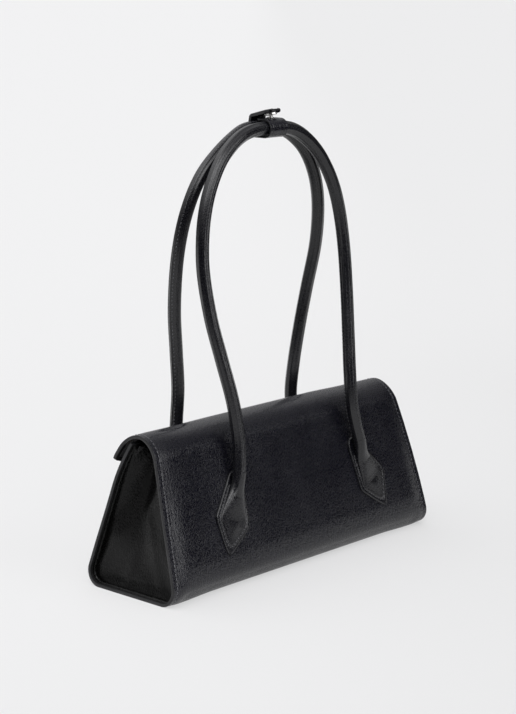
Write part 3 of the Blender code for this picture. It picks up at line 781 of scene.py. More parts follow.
@dataclass(frozen=True)
class Section:
    """Section across the bag, with the same sizes and formulas as the solids behind it."""

    length: float = 0.300
    height: float = 0.1187
    front_lean: float = math.radians(16.5)
    rear_lean: float = math.radians(17.3)
    end_lean: float = 0.102
    edge_radius: float = 0.0121
    ridge_radius: float = 0.0223
    lip_standoff: float = 0.00524
    fold_angle: float = math.radians(133.0)
    tip_angle: float = math.radians(4.0)
    rear_top: float = 0.10903
    bend_height: float = 0.079
    top_move: Span = (-0.0064, 0.0036)
    bow_heights: Numbers = (0.0, 0.010, 0.022, 0.040, 0.062, 0.085, 0.105, 0.118)
    bow_moves: Numbers = (-2.0, -1.2, 0.0, 1.0, 1.3, 0.7, -0.6, -1.5)
    bow_range: Span = (-0.02, 0.13)
    arc_step: float = 0.9 * MM
    line_step: float = 1.5 * MM
    pull_angles: Numbers = (
        0.0, 4.0, 15.0, 26.0, 37.0, 48.0, 60.0, 72.0, 81.0, 90.0, 98.0, 106.0, 115.0, 123.0, 135.0, 150.0)
    pull_moves: Numbers = (
        1.1, 0.9, 0.0, -0.7, -0.85, -0.8, -0.6, -0.1, 0.3, 0.7, 0.95, 0.9, 0.8, 0.6, 0.35, 0.0)

    @property
    def half_depth(self) -> float:
        """Half the depth of the base, before its edges are rounded."""
        tangents = math.tan(self.front_lean) + math.tan(self.rear_lean)
        share = 1 + 1 / math.cos(self.front_lean) - tangents
        return (self.ridge_radius * share + self.height * tangents - self.lip_standoff) / 2

    @property
    def ridge(self) -> Array:
        """Middle of the arch over the ridge, as (y, z)."""
        z = self.height - self.ridge_radius
        y = (self.ridge_radius + z * math.sin(self.front_lean)) / math.cos(self.front_lean) - self.half_depth
        return np.array((y, z))

    def lean(self, side: Side) -> float:
        """Lean of a wall."""
        return self.front_lean if side == Side.FRONT else self.rear_lean

    def wall(self, side: Side, height: float) -> Array:
        """Point (y, z) on a wall's outer face at a height."""
        return np.array((side * (self.half_depth - height * math.tan(self.lean(side))), height))

    def end_x(self, height: Array) -> Array:
        """Distance of the bag's end from its middle at a height."""
        return self.length / 2 - self.end_lean * height

    def arch(self, angle: float) -> Array:
        """Point (y, z) on the arch at an angle from +Y towards +Z."""
        return self.ridge + self.ridge_radius * np.array((math.cos(angle), math.sin(angle)))

    def arc(self, centre: Array, radius: float, start: float, end: float) -> Pair:
        """Points and outward normals round a centre."""
        steps = max(4, int(abs(end - start) * radius / self.arc_step))
        angle = np.linspace(start, end, steps + 1)
        normal = np.stack((np.cos(angle), np.sin(angle)), 1)
        return centre + radius * normal, normal

    def line(self, start: Array, end: Array, angle: float) -> Pair:
        """Points and outward normals along a line."""
        steps = max(2, int(np.linalg.norm(end - start) / self.line_step))
        t = np.linspace(0, 1, steps + 1)[:, None]
        normal = np.tile((math.cos(angle), math.sin(angle)), (steps + 1, 1))
        return start + (end - start) * t, normal

    def bow(self, x: Array, height: Array) -> Array:
        """Movement along X by which the right end bows out between base and ridge, fading inwards."""
        return np.interp(height, self.bow_heights, self.bow_moves) * MM * ease(x, *self.bow_range)

    def corner(self, side: Side) -> Array:
        """Middle (y, z) of a rounded base edge."""
        lean = self.lean(side)
        set_back = self.edge_radius * (1 / math.cos(lean) + math.tan(lean))
        return np.array((side * (self.half_depth - set_back), self.edge_radius))

    def run(self, side: Side, end_angle: float | None = None) -> Pair:
        """Outline from the middle of the base, round a base edge and up a wall.

        The front one goes on over the arch as far as an angle. The rear one stops at the rear wall's top.

        Args:
            side: Front or rear.
            end_angle: Where the front outline ends on the arch.

        Returns:
            Points (y, z) and outward normals, in order.
        """
        in_front = side == Side.FRONT
        centre, down = self.corner(side), -math.pi / 2
        angle = math.pi - self.front_lean if in_front else self.rear_lean
        top = self.arch(angle) if in_front else self.wall(side, self.rear_top)
        bend = self.arc(centre, self.edge_radius, down, angle - 2 * math.pi * in_front)
        parts = [self.line(np.zeros(2), centre * (1, 0), down), bend, self.line(bend[0][-1], top, angle)]
        if in_front:
            last = self.tip_angle if end_angle is None else end_angle
            parts.append(self.arc(self.ridge, self.ridge_radius, angle, last))
        first, rest = parts[0], parts[1:]
        points, normals = (np.concatenate([first[k]] + [part[k][1:] for part in rest]) for k in range(2))
        return points, normals

    def end_pull(self, side: Side, rows: Array, normals: Array) -> Array:
        """Movement (y, z) of an outline right at the bag's ends, where the gussets draw the soft leather in.

        The arch moves along its normals by a table over its angle. The rear wall bends forwards from its bend
        height up to its top, by a share u^2 of the movement of its top, where u runs from 0 to 1.
        """
        if side == Side.FRONT:
            angle = np.degrees(np.arctan2(normals[:, 1], normals[:, 0]))
            moved = np.interp(angle, self.pull_angles, self.pull_moves, left=0.0, right=0.0) * MM
            return normals * np.where(normals[:, 1] > 0, moved, 0.0)[:, None]
        u = np.clip((rows[:, 1] - self.bend_height) / (self.rear_top - self.bend_height), 0, 1)
        return (u * u)[:, None] * np.array(self.top_move)

    def end_run(self, side: Side, end_angle: float | None = None) -> Pair:
        """Outline right at the bag's ends, with normals across its steps."""
        rows, normals = self.run(side, end_angle)
        moved = rows + self.end_pull(side, rows, normals)
        way = np.gradient(moved, axis=0)
        turned = unit(way[:, ::-1] * (1, -1))
        return moved, turned * np.sign(np.sum(turned * normals, axis=1, keepdims=True))


SECTION = Section()


def spread(section: Section, rows: Array, near: Array, across: int) -> Pair:
    """Columns from end to end of the bag: close together near both ends, even between them.

    Args:
        section: Sizes of the bag.
        rows: Points (y, z) of the rows.
        near: Distances from an end at which a column stands.
        across: Number of even steps between the two groups.

    Returns:
        Place along X and distance to the nearer end, both rows by columns.
    """
    reach = section.end_x(rows[:, 1])[:, None]
    inner = reach - near[-1]
    middle = np.linspace(-1, 1, across + 1)[None, 1:-1] * inner
    left = -reach + near[None, :]
    x = np.concatenate((left, middle, -left[:, ::-1]), 1)
    return x, reach - np.abs(x)


NEAR_ENDS = MM * np.array((
    0.0, 0.4, 0.9, 1.4, 1.9, 2.4, 2.8, 3.1, 3.35, 3.6, 3.85, 4.1, 4.5, 5.1, 6.0, 7.2, 8.6, 10.2, 12.0, 14.0))


@dataclass
class Wrap:
    """One sheet of leather that is the front, the base and the rear wall, and goes on as the flap."""

    section: Section
    finishes: Finishes
    thickness: float = 1.4 * MM
    edge: float = 2.6 * MM
    turned_range: Span = (1.9 * MM, 2.6 * MM)
    thinnest: float = 0.5 * MM
    thickest: float = 3.0 * MM
    seam_inset: float = 3.6 * MM
    seam_depth: float = 0.28 * MM
    seam_width: float = 0.42 * MM
    swell: float = 0.85 * MM
    base_fall: float = 2.4 * MM
    wall_swell: float = 1.5 * MM
    wall_swell_range: Span = (0.048, 0.096)
    wall_ends: Span = (0.004, 0.018)
    ridge_rise: float = 0.4 * MM
    ridge_ends: Span = (0.035, 0.080)
    swell_start: float = -1.0 * MM
    swell_width: float = 11.0 * MM
    swell_end: float = 46.0 * MM
    swell_power: float = 1.6
    arch_flat: float = 0.75
    arch_range: Span = (0.45, 0.95)
    fall_top: float = 0.028
    fall_height: float = 0.018
    fall_power: float = 1.7
    fall_most: float = 1.17
    end_hold: float = 7.0 * MM
    end_reach: float = 44.0 * MM
    right_fall: float = 0.8 * MM
    right_range: Span = (0.06, 0.125)
    right_arch: Span = (0.3, 0.9)
    press_lines: tuple[Numbers, ...] = ((-0.128, -0.0905, 4.4, -0.6), (0.0, 0.0425, 9.0, -0.9))
    press_depth: float = 1.1 * MM
    press_width: float = 1.7 * MM
    press_sway: Span = (0.6, 3.1)
    press_swell: Triple = (0.3, 3.6 * MM, 2.0 * MM)
    crease_slope: float = 0.0045
    crease_round: float = 2.5 * MM
    crease_reach: Span = (0.012, 0.035)
    slack_rise: Span = (0.014, 0.05)
    slack_fall: Span = (0.07, 0.108)
    uneven: float = 0.2 * MM
    uneven_seed: int = 11
    uneven_lengths: Span = (0.045, 0.12)
    fold_width: float = math.radians(13.0)
    lip_drop: float = math.radians(8.5)
    lip_bend: float = math.radians(30.0)
    lip_corner: float = 0.05
    lip_corner_width: float = 2.2 * MM
    lip_range: Span = (0.3 * MM, 11.0 * MM)
    columns: int = 110

    def fold(self) -> dict[str, Triple]:
        """Start and end of the leather's bend along the flap's fold."""
        start = self.section.arch(self.section.fold_angle + self.fold_width)
        end = self.section.arch(self.section.fold_angle - self.fold_width)
        return {"start": (0.0, *start), "end": (0.0, *end)}

    def height(self, distance: Array, from_top: Array) -> Array:
        """Height over the even surface, from the distances to an end and to the lip or the wall's top.

        The leather swells as it leaves the seam and settles again further in. The seam is a narrow furrow.
        """
        inner, down = distance - self.seam_inset, from_top - self.seam_inset
        rise = 1 - (1 - ease(inner, self.swell_start, self.swell_width)) ** self.swell_power
        swollen = self.swell * rise * (1 - ease(inner, 1.2 * self.swell_width, self.swell_end))
        furrow = self.seam_depth * hump(inner, self.seam_width) * (down > 0)
        return swollen - furrow - self.seam_depth * hump(down, self.seam_width) * (inner > 0)

    def over(self, x: Array, distance: Array, from_top: Array, normals: Array) -> Array:
        """Height over the even surface: lower on the arch, and lowest at its right end."""
        up = normals[:, 1:]
        fall = self.right_fall * ease(x, *self.right_range) * ease(up, *self.right_arch)
        return self.height(distance, from_top) * (1 - self.arch_flat * ease(up, *self.arch_range)) - fall

    def pressed(self, x: Array, normals: Array) -> Array:
        """Creases that the rear handle's tubes press into the ridge.

        Each crease is a bell across a slanting, slightly swaying line, which is given by its ends along X and
        their distances (mm) from the top of the arch. It has a low swell beside it: the swell's share,
        distance and width. It is deepest at its right end, by the tube.
        """
        down = self.section.ridge_radius * (np.arctan2(normals[:, 1], normals[:, 0]) - math.pi / 2)
        total = np.zeros_like(x)
        (sway, pace), (swell, beside, width) = self.press_sway, self.press_swell
        for left, right, low, high in self.press_lines:
            share = (x - left) / (right - left)
            away = down[:, None] - (low + (high - low) * share + sway * np.sin(pace * share)) * MM
            reach = ease(share, 0.0, 0.6) * (1 - ease(share, 0.96, 1.12))
            dent = hump(away, self.press_width) - swell * hump(away + beside, width)
            total = total + self.press_depth * reach * dent
        return total * (normals[:, 1:] > 0.3)

    def slack(self, x: Array, run: Array, wall: Array) -> Array:
        """Soft unevenness of a wall: a low upright crease in the middle, slope * |x|, and slow waves."""
        deep = np.sqrt(x * x + self.crease_round**2) - self.crease_round
        crease = self.crease_slope * deep * (1 - ease(np.abs(x), *self.crease_reach))
        return wall * (crease + self.uneven * waves(x, run, self.uneven_seed, *self.uneven_lengths))

    def belly(self, side: Side, distance: Array, rows: Array, normals: Array) -> Array:
        """Slow curve of the leather up a wall and over the ridge, away from the ends.

        The wall falls in over its base edge, by the fall times a power of (top - z) / height, which is first
        held between 0 and its most. It swells in its middle, and the ridge stands a little higher.
        """
        upright = ease(side * normals[:, 0], 0.15, 0.90)
        z = rows[:, 1]
        down = np.clip((self.fall_top - z) / self.fall_height, 0.0, self.fall_most)
        low = -self.base_fall * down**self.fall_power
        mid = self.wall_swell * (1 - ease(z, *self.wall_swell_range))
        top = self.ridge_rise * ease(normals[:, 1], 0.5, 1.0)[:, None]
        wall = ((low + mid) * upright)[:, None]
        return wall * ease(distance, *self.wall_ends) + top * ease(distance, *self.ridge_ends)

    def near_end(self, distance: Array) -> Array:
        """Share of the end's movement that is left at a distance from the end."""
        return 1 - ease(distance, self.end_hold, self.end_reach)

    def lip_fall(self, distance: Array) -> Array:
        """Angle by which the lip reaches further down away from the ends, with its corners rounded off."""
        corner = self.lip_corner * (1 - ease(distance, 0.0, self.lip_corner_width))
        return self.lip_drop * ease(distance, *self.lip_range) - corner

    def places(self, side: Side, x: Array, distance: Array, rows: Array, normals: Array) -> Pair:
        """Places and section normals of the even surface over a grid.

        The lip's rows turn on about the ridge by the lip's fall, in proportion to how far they are down the
        lip. Then the end's movement is added by its share.

        Args:
            side: Front or rear.
            x: Places along X, rows by columns.
            distance: Distances to the nearer end, rows by columns.
            rows: Points (y, z) of the rows.
            normals: Outward normals of the rows.

        Returns:
            Places in space, and normals (y, z), both rows by columns.
        """
        move = self.section.end_pull(side, rows, normals)
        normal = np.repeat(normals[:, None], x.shape[1], 1)
        place = np.repeat(rows[:, None], x.shape[1], 1)
        if side == Side.FRONT:
            angle = np.arctan2(normals[:, 1], normals[:, 0])
            share = np.clip((self.lip_bend - angle) / (self.lip_bend - self.section.tip_angle), 0, 1)
            share = share * (normals[:, 1] > 0)
            turned = angle[:, None] - share[:, None] * self.lip_fall(distance)
            bent = np.stack((np.cos(turned), np.sin(turned)), -1)
            on_lip = (share > 0)[:, None, None]
            place = np.where(on_lip, self.section.ridge + self.section.ridge_radius * bent, place)
            normal = np.where(on_lip, bent, normal)
        place = place + move[:, None] * self.near_end(distance)[..., None]
        lifted = move[:, 1:2] * self.near_end(distance)
        shifted = x - np.sign(x) * self.section.end_lean * lifted + self.section.bow(x, place[..., 1])
        return np.concatenate((shifted[..., None], place), -1), normal

    def face(self, side: Side) -> tuple[Surface, Array]:
        """Outer face of the front with the flap, or of the rear.

        Each point is its even place plus its row's normal times the height less the slack there. The leather
        is thick along its edges, where it is turned, and thins where the ends are drawn in, so its back stays
        even.

        Returns:
            The sheet and its thickness at each point.
        """
        rows, normals = self.section.run(side)
        run = arc_length(rows)
        x, distance = spread(self.section, rows, NEAR_ENDS, self.columns)
        place, normal = self.places(side, x, distance, rows, normals)
        from_top = (run[-1] - run)[:, None]
        z = rows[:, 1]
        wall = ease(z, *self.slack_rise) * (1 - ease(z, *self.slack_fall)) * (normals[:, 1] < 0.35)
        height = self.over(x, distance, from_top, normals) - self.pressed(x, normals)
        height = height + self.belly(side, distance, rows, normals)
        height = height - self.slack(x, run[:, None], wall[:, None])
        place[..., 1:] += normal * height[..., None]
        pattern = stacked(x, run[:, None])
        pull = np.sum(self.section.end_pull(side, rows, normals) * normals, axis=1)
        moved = pull[:, None] * self.near_end(distance)
        thin = np.clip(self.thickness + moved * (side == Side.FRONT) + height, self.thinnest, self.thickest)
        turned = 1 - ease(np.minimum(distance, from_top), *self.turned_range)
        thickness = thin + (self.edge - thin) * turned
        if side == Side.REAR:
            place, pattern, thickness = place[:, ::-1], pattern[:, ::-1], thickness[:, ::-1]
        return Surface.grid(place, pattern), thickness.ravel()

    def on_face(self, side: Side, distance: Array, end: Array, rows: Array, normals: Array,
                from_top: Array) -> Pair:
        """Places and normals on the face, one for each row, at a distance from an end."""
        x = (end * (self.section.end_x(rows[:, 1]) - distance))[:, None]
        place, normal = self.places(side, x, distance[:, None], rows, normals)
        place[..., 1:] += normal * self.over(x, distance[:, None], from_top[:, None], normals)[..., None]
        return place[:, 0], np.column_stack((np.zeros(len(rows)), normal[:, 0]))

    def seam(self, side: Side, end: End) -> Pair:
        """Path and normals of the seam beside one end of the bag."""
        rows, normals = self.section.run(side)
        run = arc_length(rows)
        keep = run <= run[-1] - self.seam_inset
        distance = np.full(int(keep.sum()), self.seam_inset)
        ends = np.full(len(distance), int(end))
        return self.on_face(side, distance, ends, rows[keep], normals[keep], (run[-1] - run)[keep])

    def top_seam(self, side: Side) -> Pair:
        """Path and normals of the seam along the lip, or along the rear wall's top."""
        rows, normals = self.section.run(side)
        run = arc_length(rows)
        at = np.array((run[-1] - self.seam_inset,))
        count = 160
        point = np.repeat(sample(rows, rows, at), count, 0)
        normal = np.repeat(unit(sample(rows, normals, at)), count, 0)
        reach = float(self.section.end_x(point[0, 1]))
        x = np.linspace(-1, 1, count) * (reach - 1.5 * self.seam_inset)
        from_top = np.full(count, self.seam_inset)
        return self.on_face(side, reach - np.abs(x), np.where(x < 0, -1, 1), point, normal, from_top)

    def build(self) -> None:
        """Make the leather, its painted edges and its stitching."""
        slots = [self.finishes.pebbled, self.finishes.edge, self.finishes.suede]
        sheet, thickness = self.face(Side.FRONT)
        front = sheet.shell(thickness).piece("front_and_flap_leather", slots)
        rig.replaces(front, "flap_leather")
        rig.blend(front, Body.BAG.value, Body.FLAP.value, **self.fold())
        sheet, thickness = self.face(Side.REAR)
        rear = sheet.shell(thickness).piece("base_and_rear_leather", slots)
        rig.replaces(rear, "outer_wrap")
        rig.ride(rear, Body.BAG.value)
        for item in (front, rear):
            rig.slot(item, "pebbled_leather")
        thread, stitches = [self.finishes.thread], StitchRow()
        for end in End:
            row = stitches.along(*self.seam(Side.FRONT, end)).piece(f"front_stitching_{end.word}", thread)
            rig.blend(row, Body.BAG.value, Body.FLAP.value, **self.fold())
            row = stitches.along(*self.seam(Side.REAR, end)).piece(f"rear_stitching_{end.word}", thread)
            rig.ride(row, Body.BAG.value)
        lip = stitches.along(*self.top_seam(Side.FRONT)).piece("lip_stitching", thread)
        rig.ride(lip, Body.FLAP.value)
        top = stitches.along(*self.top_seam(Side.REAR)).piece("rear_top_stitching", thread)
        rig.ride(top, Body.BAG.value)


@dataclass
class Lining:
    """Woven lining of the walls, the base and the flap."""

    section: Section
    finishes: Finishes
    wrap: Wrap
    inset: float = 2.85 * MM
    thickness: float = 0.6 * MM
    end_gap: float = 7.3 * MM
    flap_end_gap: float = 2.5 * MM
    top_gap: float = 2.4 * MM
    fold_range: Span = (-0.05, 0.35)
    columns: int = 60

    def face(self, side: Side) -> Surface:
        """Face of the lining towards the inside: the wrap's even surface, moved inwards along its normals."""
        rows, normals = self.section.run(side)
        run = arc_length(rows)
        keep = run <= run[-1] - self.top_gap
        rows, normals, run = rows[keep], normals[keep], run[keep]
        angle = np.arctan2(normals[:, 1], normals[:, 0])
        low, high = (self.section.fold_angle + turn for turn in self.fold_range)
        on_flap = (1 - ease(angle, low, high)) * (normals[:, 1] > 0) * (side == Side.FRONT)
        gap = self.end_gap + (self.flap_end_gap - self.end_gap) * on_flap
        reach = (self.section.end_x(rows[:, 1]) - gap)[:, None]
        x = reach * np.linspace(-1, 1, self.columns + 1)[None, :]
        distance = self.section.end_x(rows[:, 1])[:, None] - np.abs(x)
        points, normal = self.wrap.places(side, x, distance, rows, normals)
        points[..., 1:] -= normal * (self.inset + self.thickness)
        pattern = stacked(x, run[:, None])
        if side == Side.REAR:
            points, pattern = points[:, ::-1], pattern[:, ::-1]
        return Surface.grid(points, pattern).turned()

    def build(self) -> None:
        """Make the lining's two sheets."""
        cloth = [self.finishes.cloth] * 3
        front = self.face(Side.FRONT).shell(self.thickness, rim_steps=2).piece("front_and_flap_lining", cloth)
        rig.replaces(front, "flap_lining")
        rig.blend(front, Body.BAG.value, Body.FLAP.value, **self.wrap.fold())
        rear = self.face(Side.REAR).shell(self.thickness, rim_steps=2).piece("base_and_rear_lining", cloth)
        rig.replaces(rear, "lining_wrap")
        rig.ride(rear, Body.BAG.value)
        for item in (front, rear):
            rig.slot(item, "lining_cloth")


@dataclass
class Gusset:
    """Soft end panel with a turned flange along the walls and the base."""

    section: Section
    finishes: Finishes
    end: End
    set_in: float = 5.2 * MM
    bend_radius: float = 1.5 * MM
    top: float = 0.1114
    top_angle: float = math.radians(155.0)
    fold_depth: float = 15.5 * MM
    valley_power: float = 1.05
    valley_gap: float = 7.0 * MM
    valley_round: float = 0.02
    least_room: float = 4.0 * MM
    bulge: float = 2.2 * MM
    bulge_rise: Span = (0.0, 0.3)
    bulge_fall: Span = (0.25, 0.75)
    folds: tuple[Numbers, ...] = ((0.857, -0.0529), (0.30, -0.012), (-0.35, 0.028))
    crease_height: float = 2.6 * MM
    crease_width: float = 11 * MM
    crease_round: float = 1.6 * MM
    lower_ridges: tuple[Numbers, ...] = ((0.8 * MM, 4.5 * MM), (0.7 * MM, 5.0 * MM))
    fade_range: Span = (0.72, 0.92)
    border_width: float = 9.0 * MM
    uneven: float = 0.4 * MM
    uneven_seed: int = 5
    uneven_lengths: Span = (0.018, 0.05)
    sink: float = 1.6 * MM
    lining_inset: float = 3.6 * MM
    lining_thickness: float = 0.6 * MM
    lining_edge: float = 9.5 * MM
    lining_gap: float = 1.5 * MM
    wall_inset: float = 1.5 * MM
    free_edge: float = 2.2 * MM
    thickness: float = 0.9 * MM
    bend_steps: int = 5
    columns: int = 48
    per_side: int = 64

    def half_rim(self, side: Side) -> Pair:
        """Points and outward normals up one wall to the panel's top, closer together near the base."""
        points, normals = self.section.end_run(side, self.top_angle)
        run = arc_length(points)
        foot = abs(self.section.corner(side)[0])
        high = points[:, 1] > 0.02
        last = run[-1] if side == Side.FRONT else np.interp(self.top, points[high, 1], run[high])
        share = np.linspace(0, 1, self.per_side + 1)
        at = foot + (last - foot) * (0.35 * share + 0.65 * share**1.5)
        return sample(points, points, at), unit(sample(points, normals, at))

    def rim(self) -> Pair:
        """Points and outward normals of the walls and the base, from the rear top to the front top."""
        rear, rear_normals = self.half_rim(Side.REAR)
        front, front_normals = self.half_rim(Side.FRONT)
        t = np.linspace(0, 1, self.columns + 1)[1:-1, None]
        floor = rear[0] * (1 - t) + front[0] * t
        down = np.tile((0.0, -1.0), (len(floor), 1))
        points = np.concatenate((rear[::-1], floor, front))
        return points, np.concatenate((rear_normals[::-1], down, front_normals))

    def folded(self, y: Array, z: Array, border: Array) -> Array:
        """Distance that the panel falls inwards.

        A valley runs up the middle: depth * rise^power * (1 - |y| / room). The lower half bulges outwards. A
        crease crosses it from the upper front to the lower rear: height * e^(-distance / width), with its top
        rounded. Two lower ridges run upwards. Each fold's line is y + slope * z + offset = 0. The border
        factor is 0 at the flange and 1 in the panel, so the ridges fade out at the flange.
        """
        rise = np.clip((z - self.section.edge_radius) / (self.top - self.section.edge_radius), 0, 1)
        slope = np.where(y > 0, math.tan(self.section.rear_lean), math.tan(self.section.front_lean))
        half = self.section.half_depth - z * slope
        room = np.maximum(half - self.valley_gap, self.least_room)
        across = np.clip(1 - np.sqrt((y / room) ** 2 + self.valley_round), 0, 1)
        out = self.bulge * ease(rise, *self.bulge_rise) * (1 - ease(rise, *self.bulge_fall)) * border
        valley = self.fold_depth * rise**self.valley_power * across - out
        first, second, third = (
            (y + slope * z + offset) / math.hypot(1, slope) for slope, offset in self.folds)
        crease = np.sqrt(first**2 + self.crease_round**2)
        ridges = self.crease_height * np.exp(-crease / self.crease_width)
        for away, (height, width) in zip((second, third), self.lower_ridges):
            ridges = ridges + height * hump(away, width)
        slow = self.uneven * waves(y, z, self.uneven_seed + self.end, *self.uneven_lengths)
        return valley + border * (self.sink + (slow - ridges) * (1 - ease(rise, *self.fade_range)))

    def shape(self, inset: float, free_edge: float, set_in: float, outwards: bool) -> Surface:
        """Flange, bend and panel as one sheet.

        The flange's rings follow the rim, moved inwards along its normals. The bend turns through a quarter
        circle: depth r(1 - cos a), set back r(1 - sin a). The panel joins like points of the rim's two sides.

        Args:
            inset: Distance of the flange from the bag's outer face.
            free_edge: Distance of the flange's free edge from the bag's end.
            set_in: Distance of the panel from the bag's end.
            outwards: Whether the flange points out of the bag.

        Returns:
            The sheet, whose face looks out of the bag's end and into its flange.
        """
        rim, normals = self.rim()
        per_side = self.per_side
        direction = 1.0 if outwards else -1.0
        angle = np.linspace(0, math.pi / 2, self.bend_steps + 1)
        depth = inset + np.concatenate(([0.0, 0.0], self.bend_radius * (1 - np.cos(angle[1:]))))
        bend_back = self.bend_radius * (1 - np.sin(angle)) * direction
        back = np.concatenate(([free_edge], set_in - bend_back))
        ring = rim[None] - normals[None] * depth[:, None, None]
        reach = self.section.end_x(ring[..., 1]) - back[:, None]
        reach = reach + (self.section.bow(reach, ring[..., 1]) if self.end > 0 else 0.0)
        turns = np.concatenate((self.end * reach[..., None], ring), -1)
        inner = turns[-1]
        count = len(rim)
        mirror = count - 1 - np.arange(per_side + 1)
        t = np.linspace(0, 1, self.columns + 1)[None, 1:-1, None]
        low, high = inner[:per_side][:, None], inner[mirror[:per_side]][:, None]
        panel = low * (1 - t) + high * t
        edge_share = np.minimum(t[..., 0], 1 - t[..., 0]) * np.linalg.norm(high - low, axis=-1)
        from_base = np.maximum(panel[..., 2] - inner[per_side, 2], 0)
        border = ease(np.minimum(edge_share, from_base), 0.0, self.border_width)
        panel[..., 0] -= self.end * self.folded(panel[..., 1], panel[..., 2], border)
        points = np.concatenate((turns.reshape(-1, 3), panel.reshape(-1, 3)))
        first = (len(turns) - 1) * count
        index = np.arange(per_side * (self.columns - 1)).reshape(per_side, -1) + len(turns) * count
        left = (first + np.arange(per_side))[:, None]
        right = (first + mirror[:per_side])[:, None]
        bottom = (first + per_side + np.arange(self.columns + 1))[None]
        table = np.concatenate((np.concatenate((left, index, right), 1), bottom))
        flange = corners(np.arange(len(turns) * count).reshape(len(turns), count)).reshape(-1, 4)
        quads = np.concatenate((flange, corners(table).reshape(-1, 4)[:, ::-1]))
        pattern = points[:, 1:][quads].copy()
        pattern[:len(flange)] = stacked((flange % count) * 1.2, (flange // count) * 1.0) * MM
        made = Surface(points, quads, pattern)
        return made if self.end < 0 else made.turned()

    def build(self) -> None:
        """Make the leather gusset and the lining panel behind it."""
        word = self.end.word
        outer = self.shape(self.wall_inset, self.free_edge, self.set_in, True)
        slots = [self.finishes.gusset, self.finishes.gusset, self.finishes.suede]
        leather = outer.shell(self.thickness, rim_steps=3).piece(f"gusset_leather_{word}", slots)
        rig.replaces(leather, f"gusset_{word}")
        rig.slot(leather, "gusset_leather")
        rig.ride(leather, Body.BAG.value)
        edge, gap = self.set_in + self.lining_edge, self.set_in + self.lining_gap
        inner = self.shape(self.lining_inset, edge, gap, False)
        slots = [self.finishes.cloth] * 3
        cloth = inner.shell(self.lining_thickness, rim_steps=2).piece(f"gusset_lining_{word}", slots)
        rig.replaces(cloth, f"lining_gusset_{word}")
        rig.slot(cloth, "lining_cloth")
        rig.ride(cloth, Body.BAG.value)


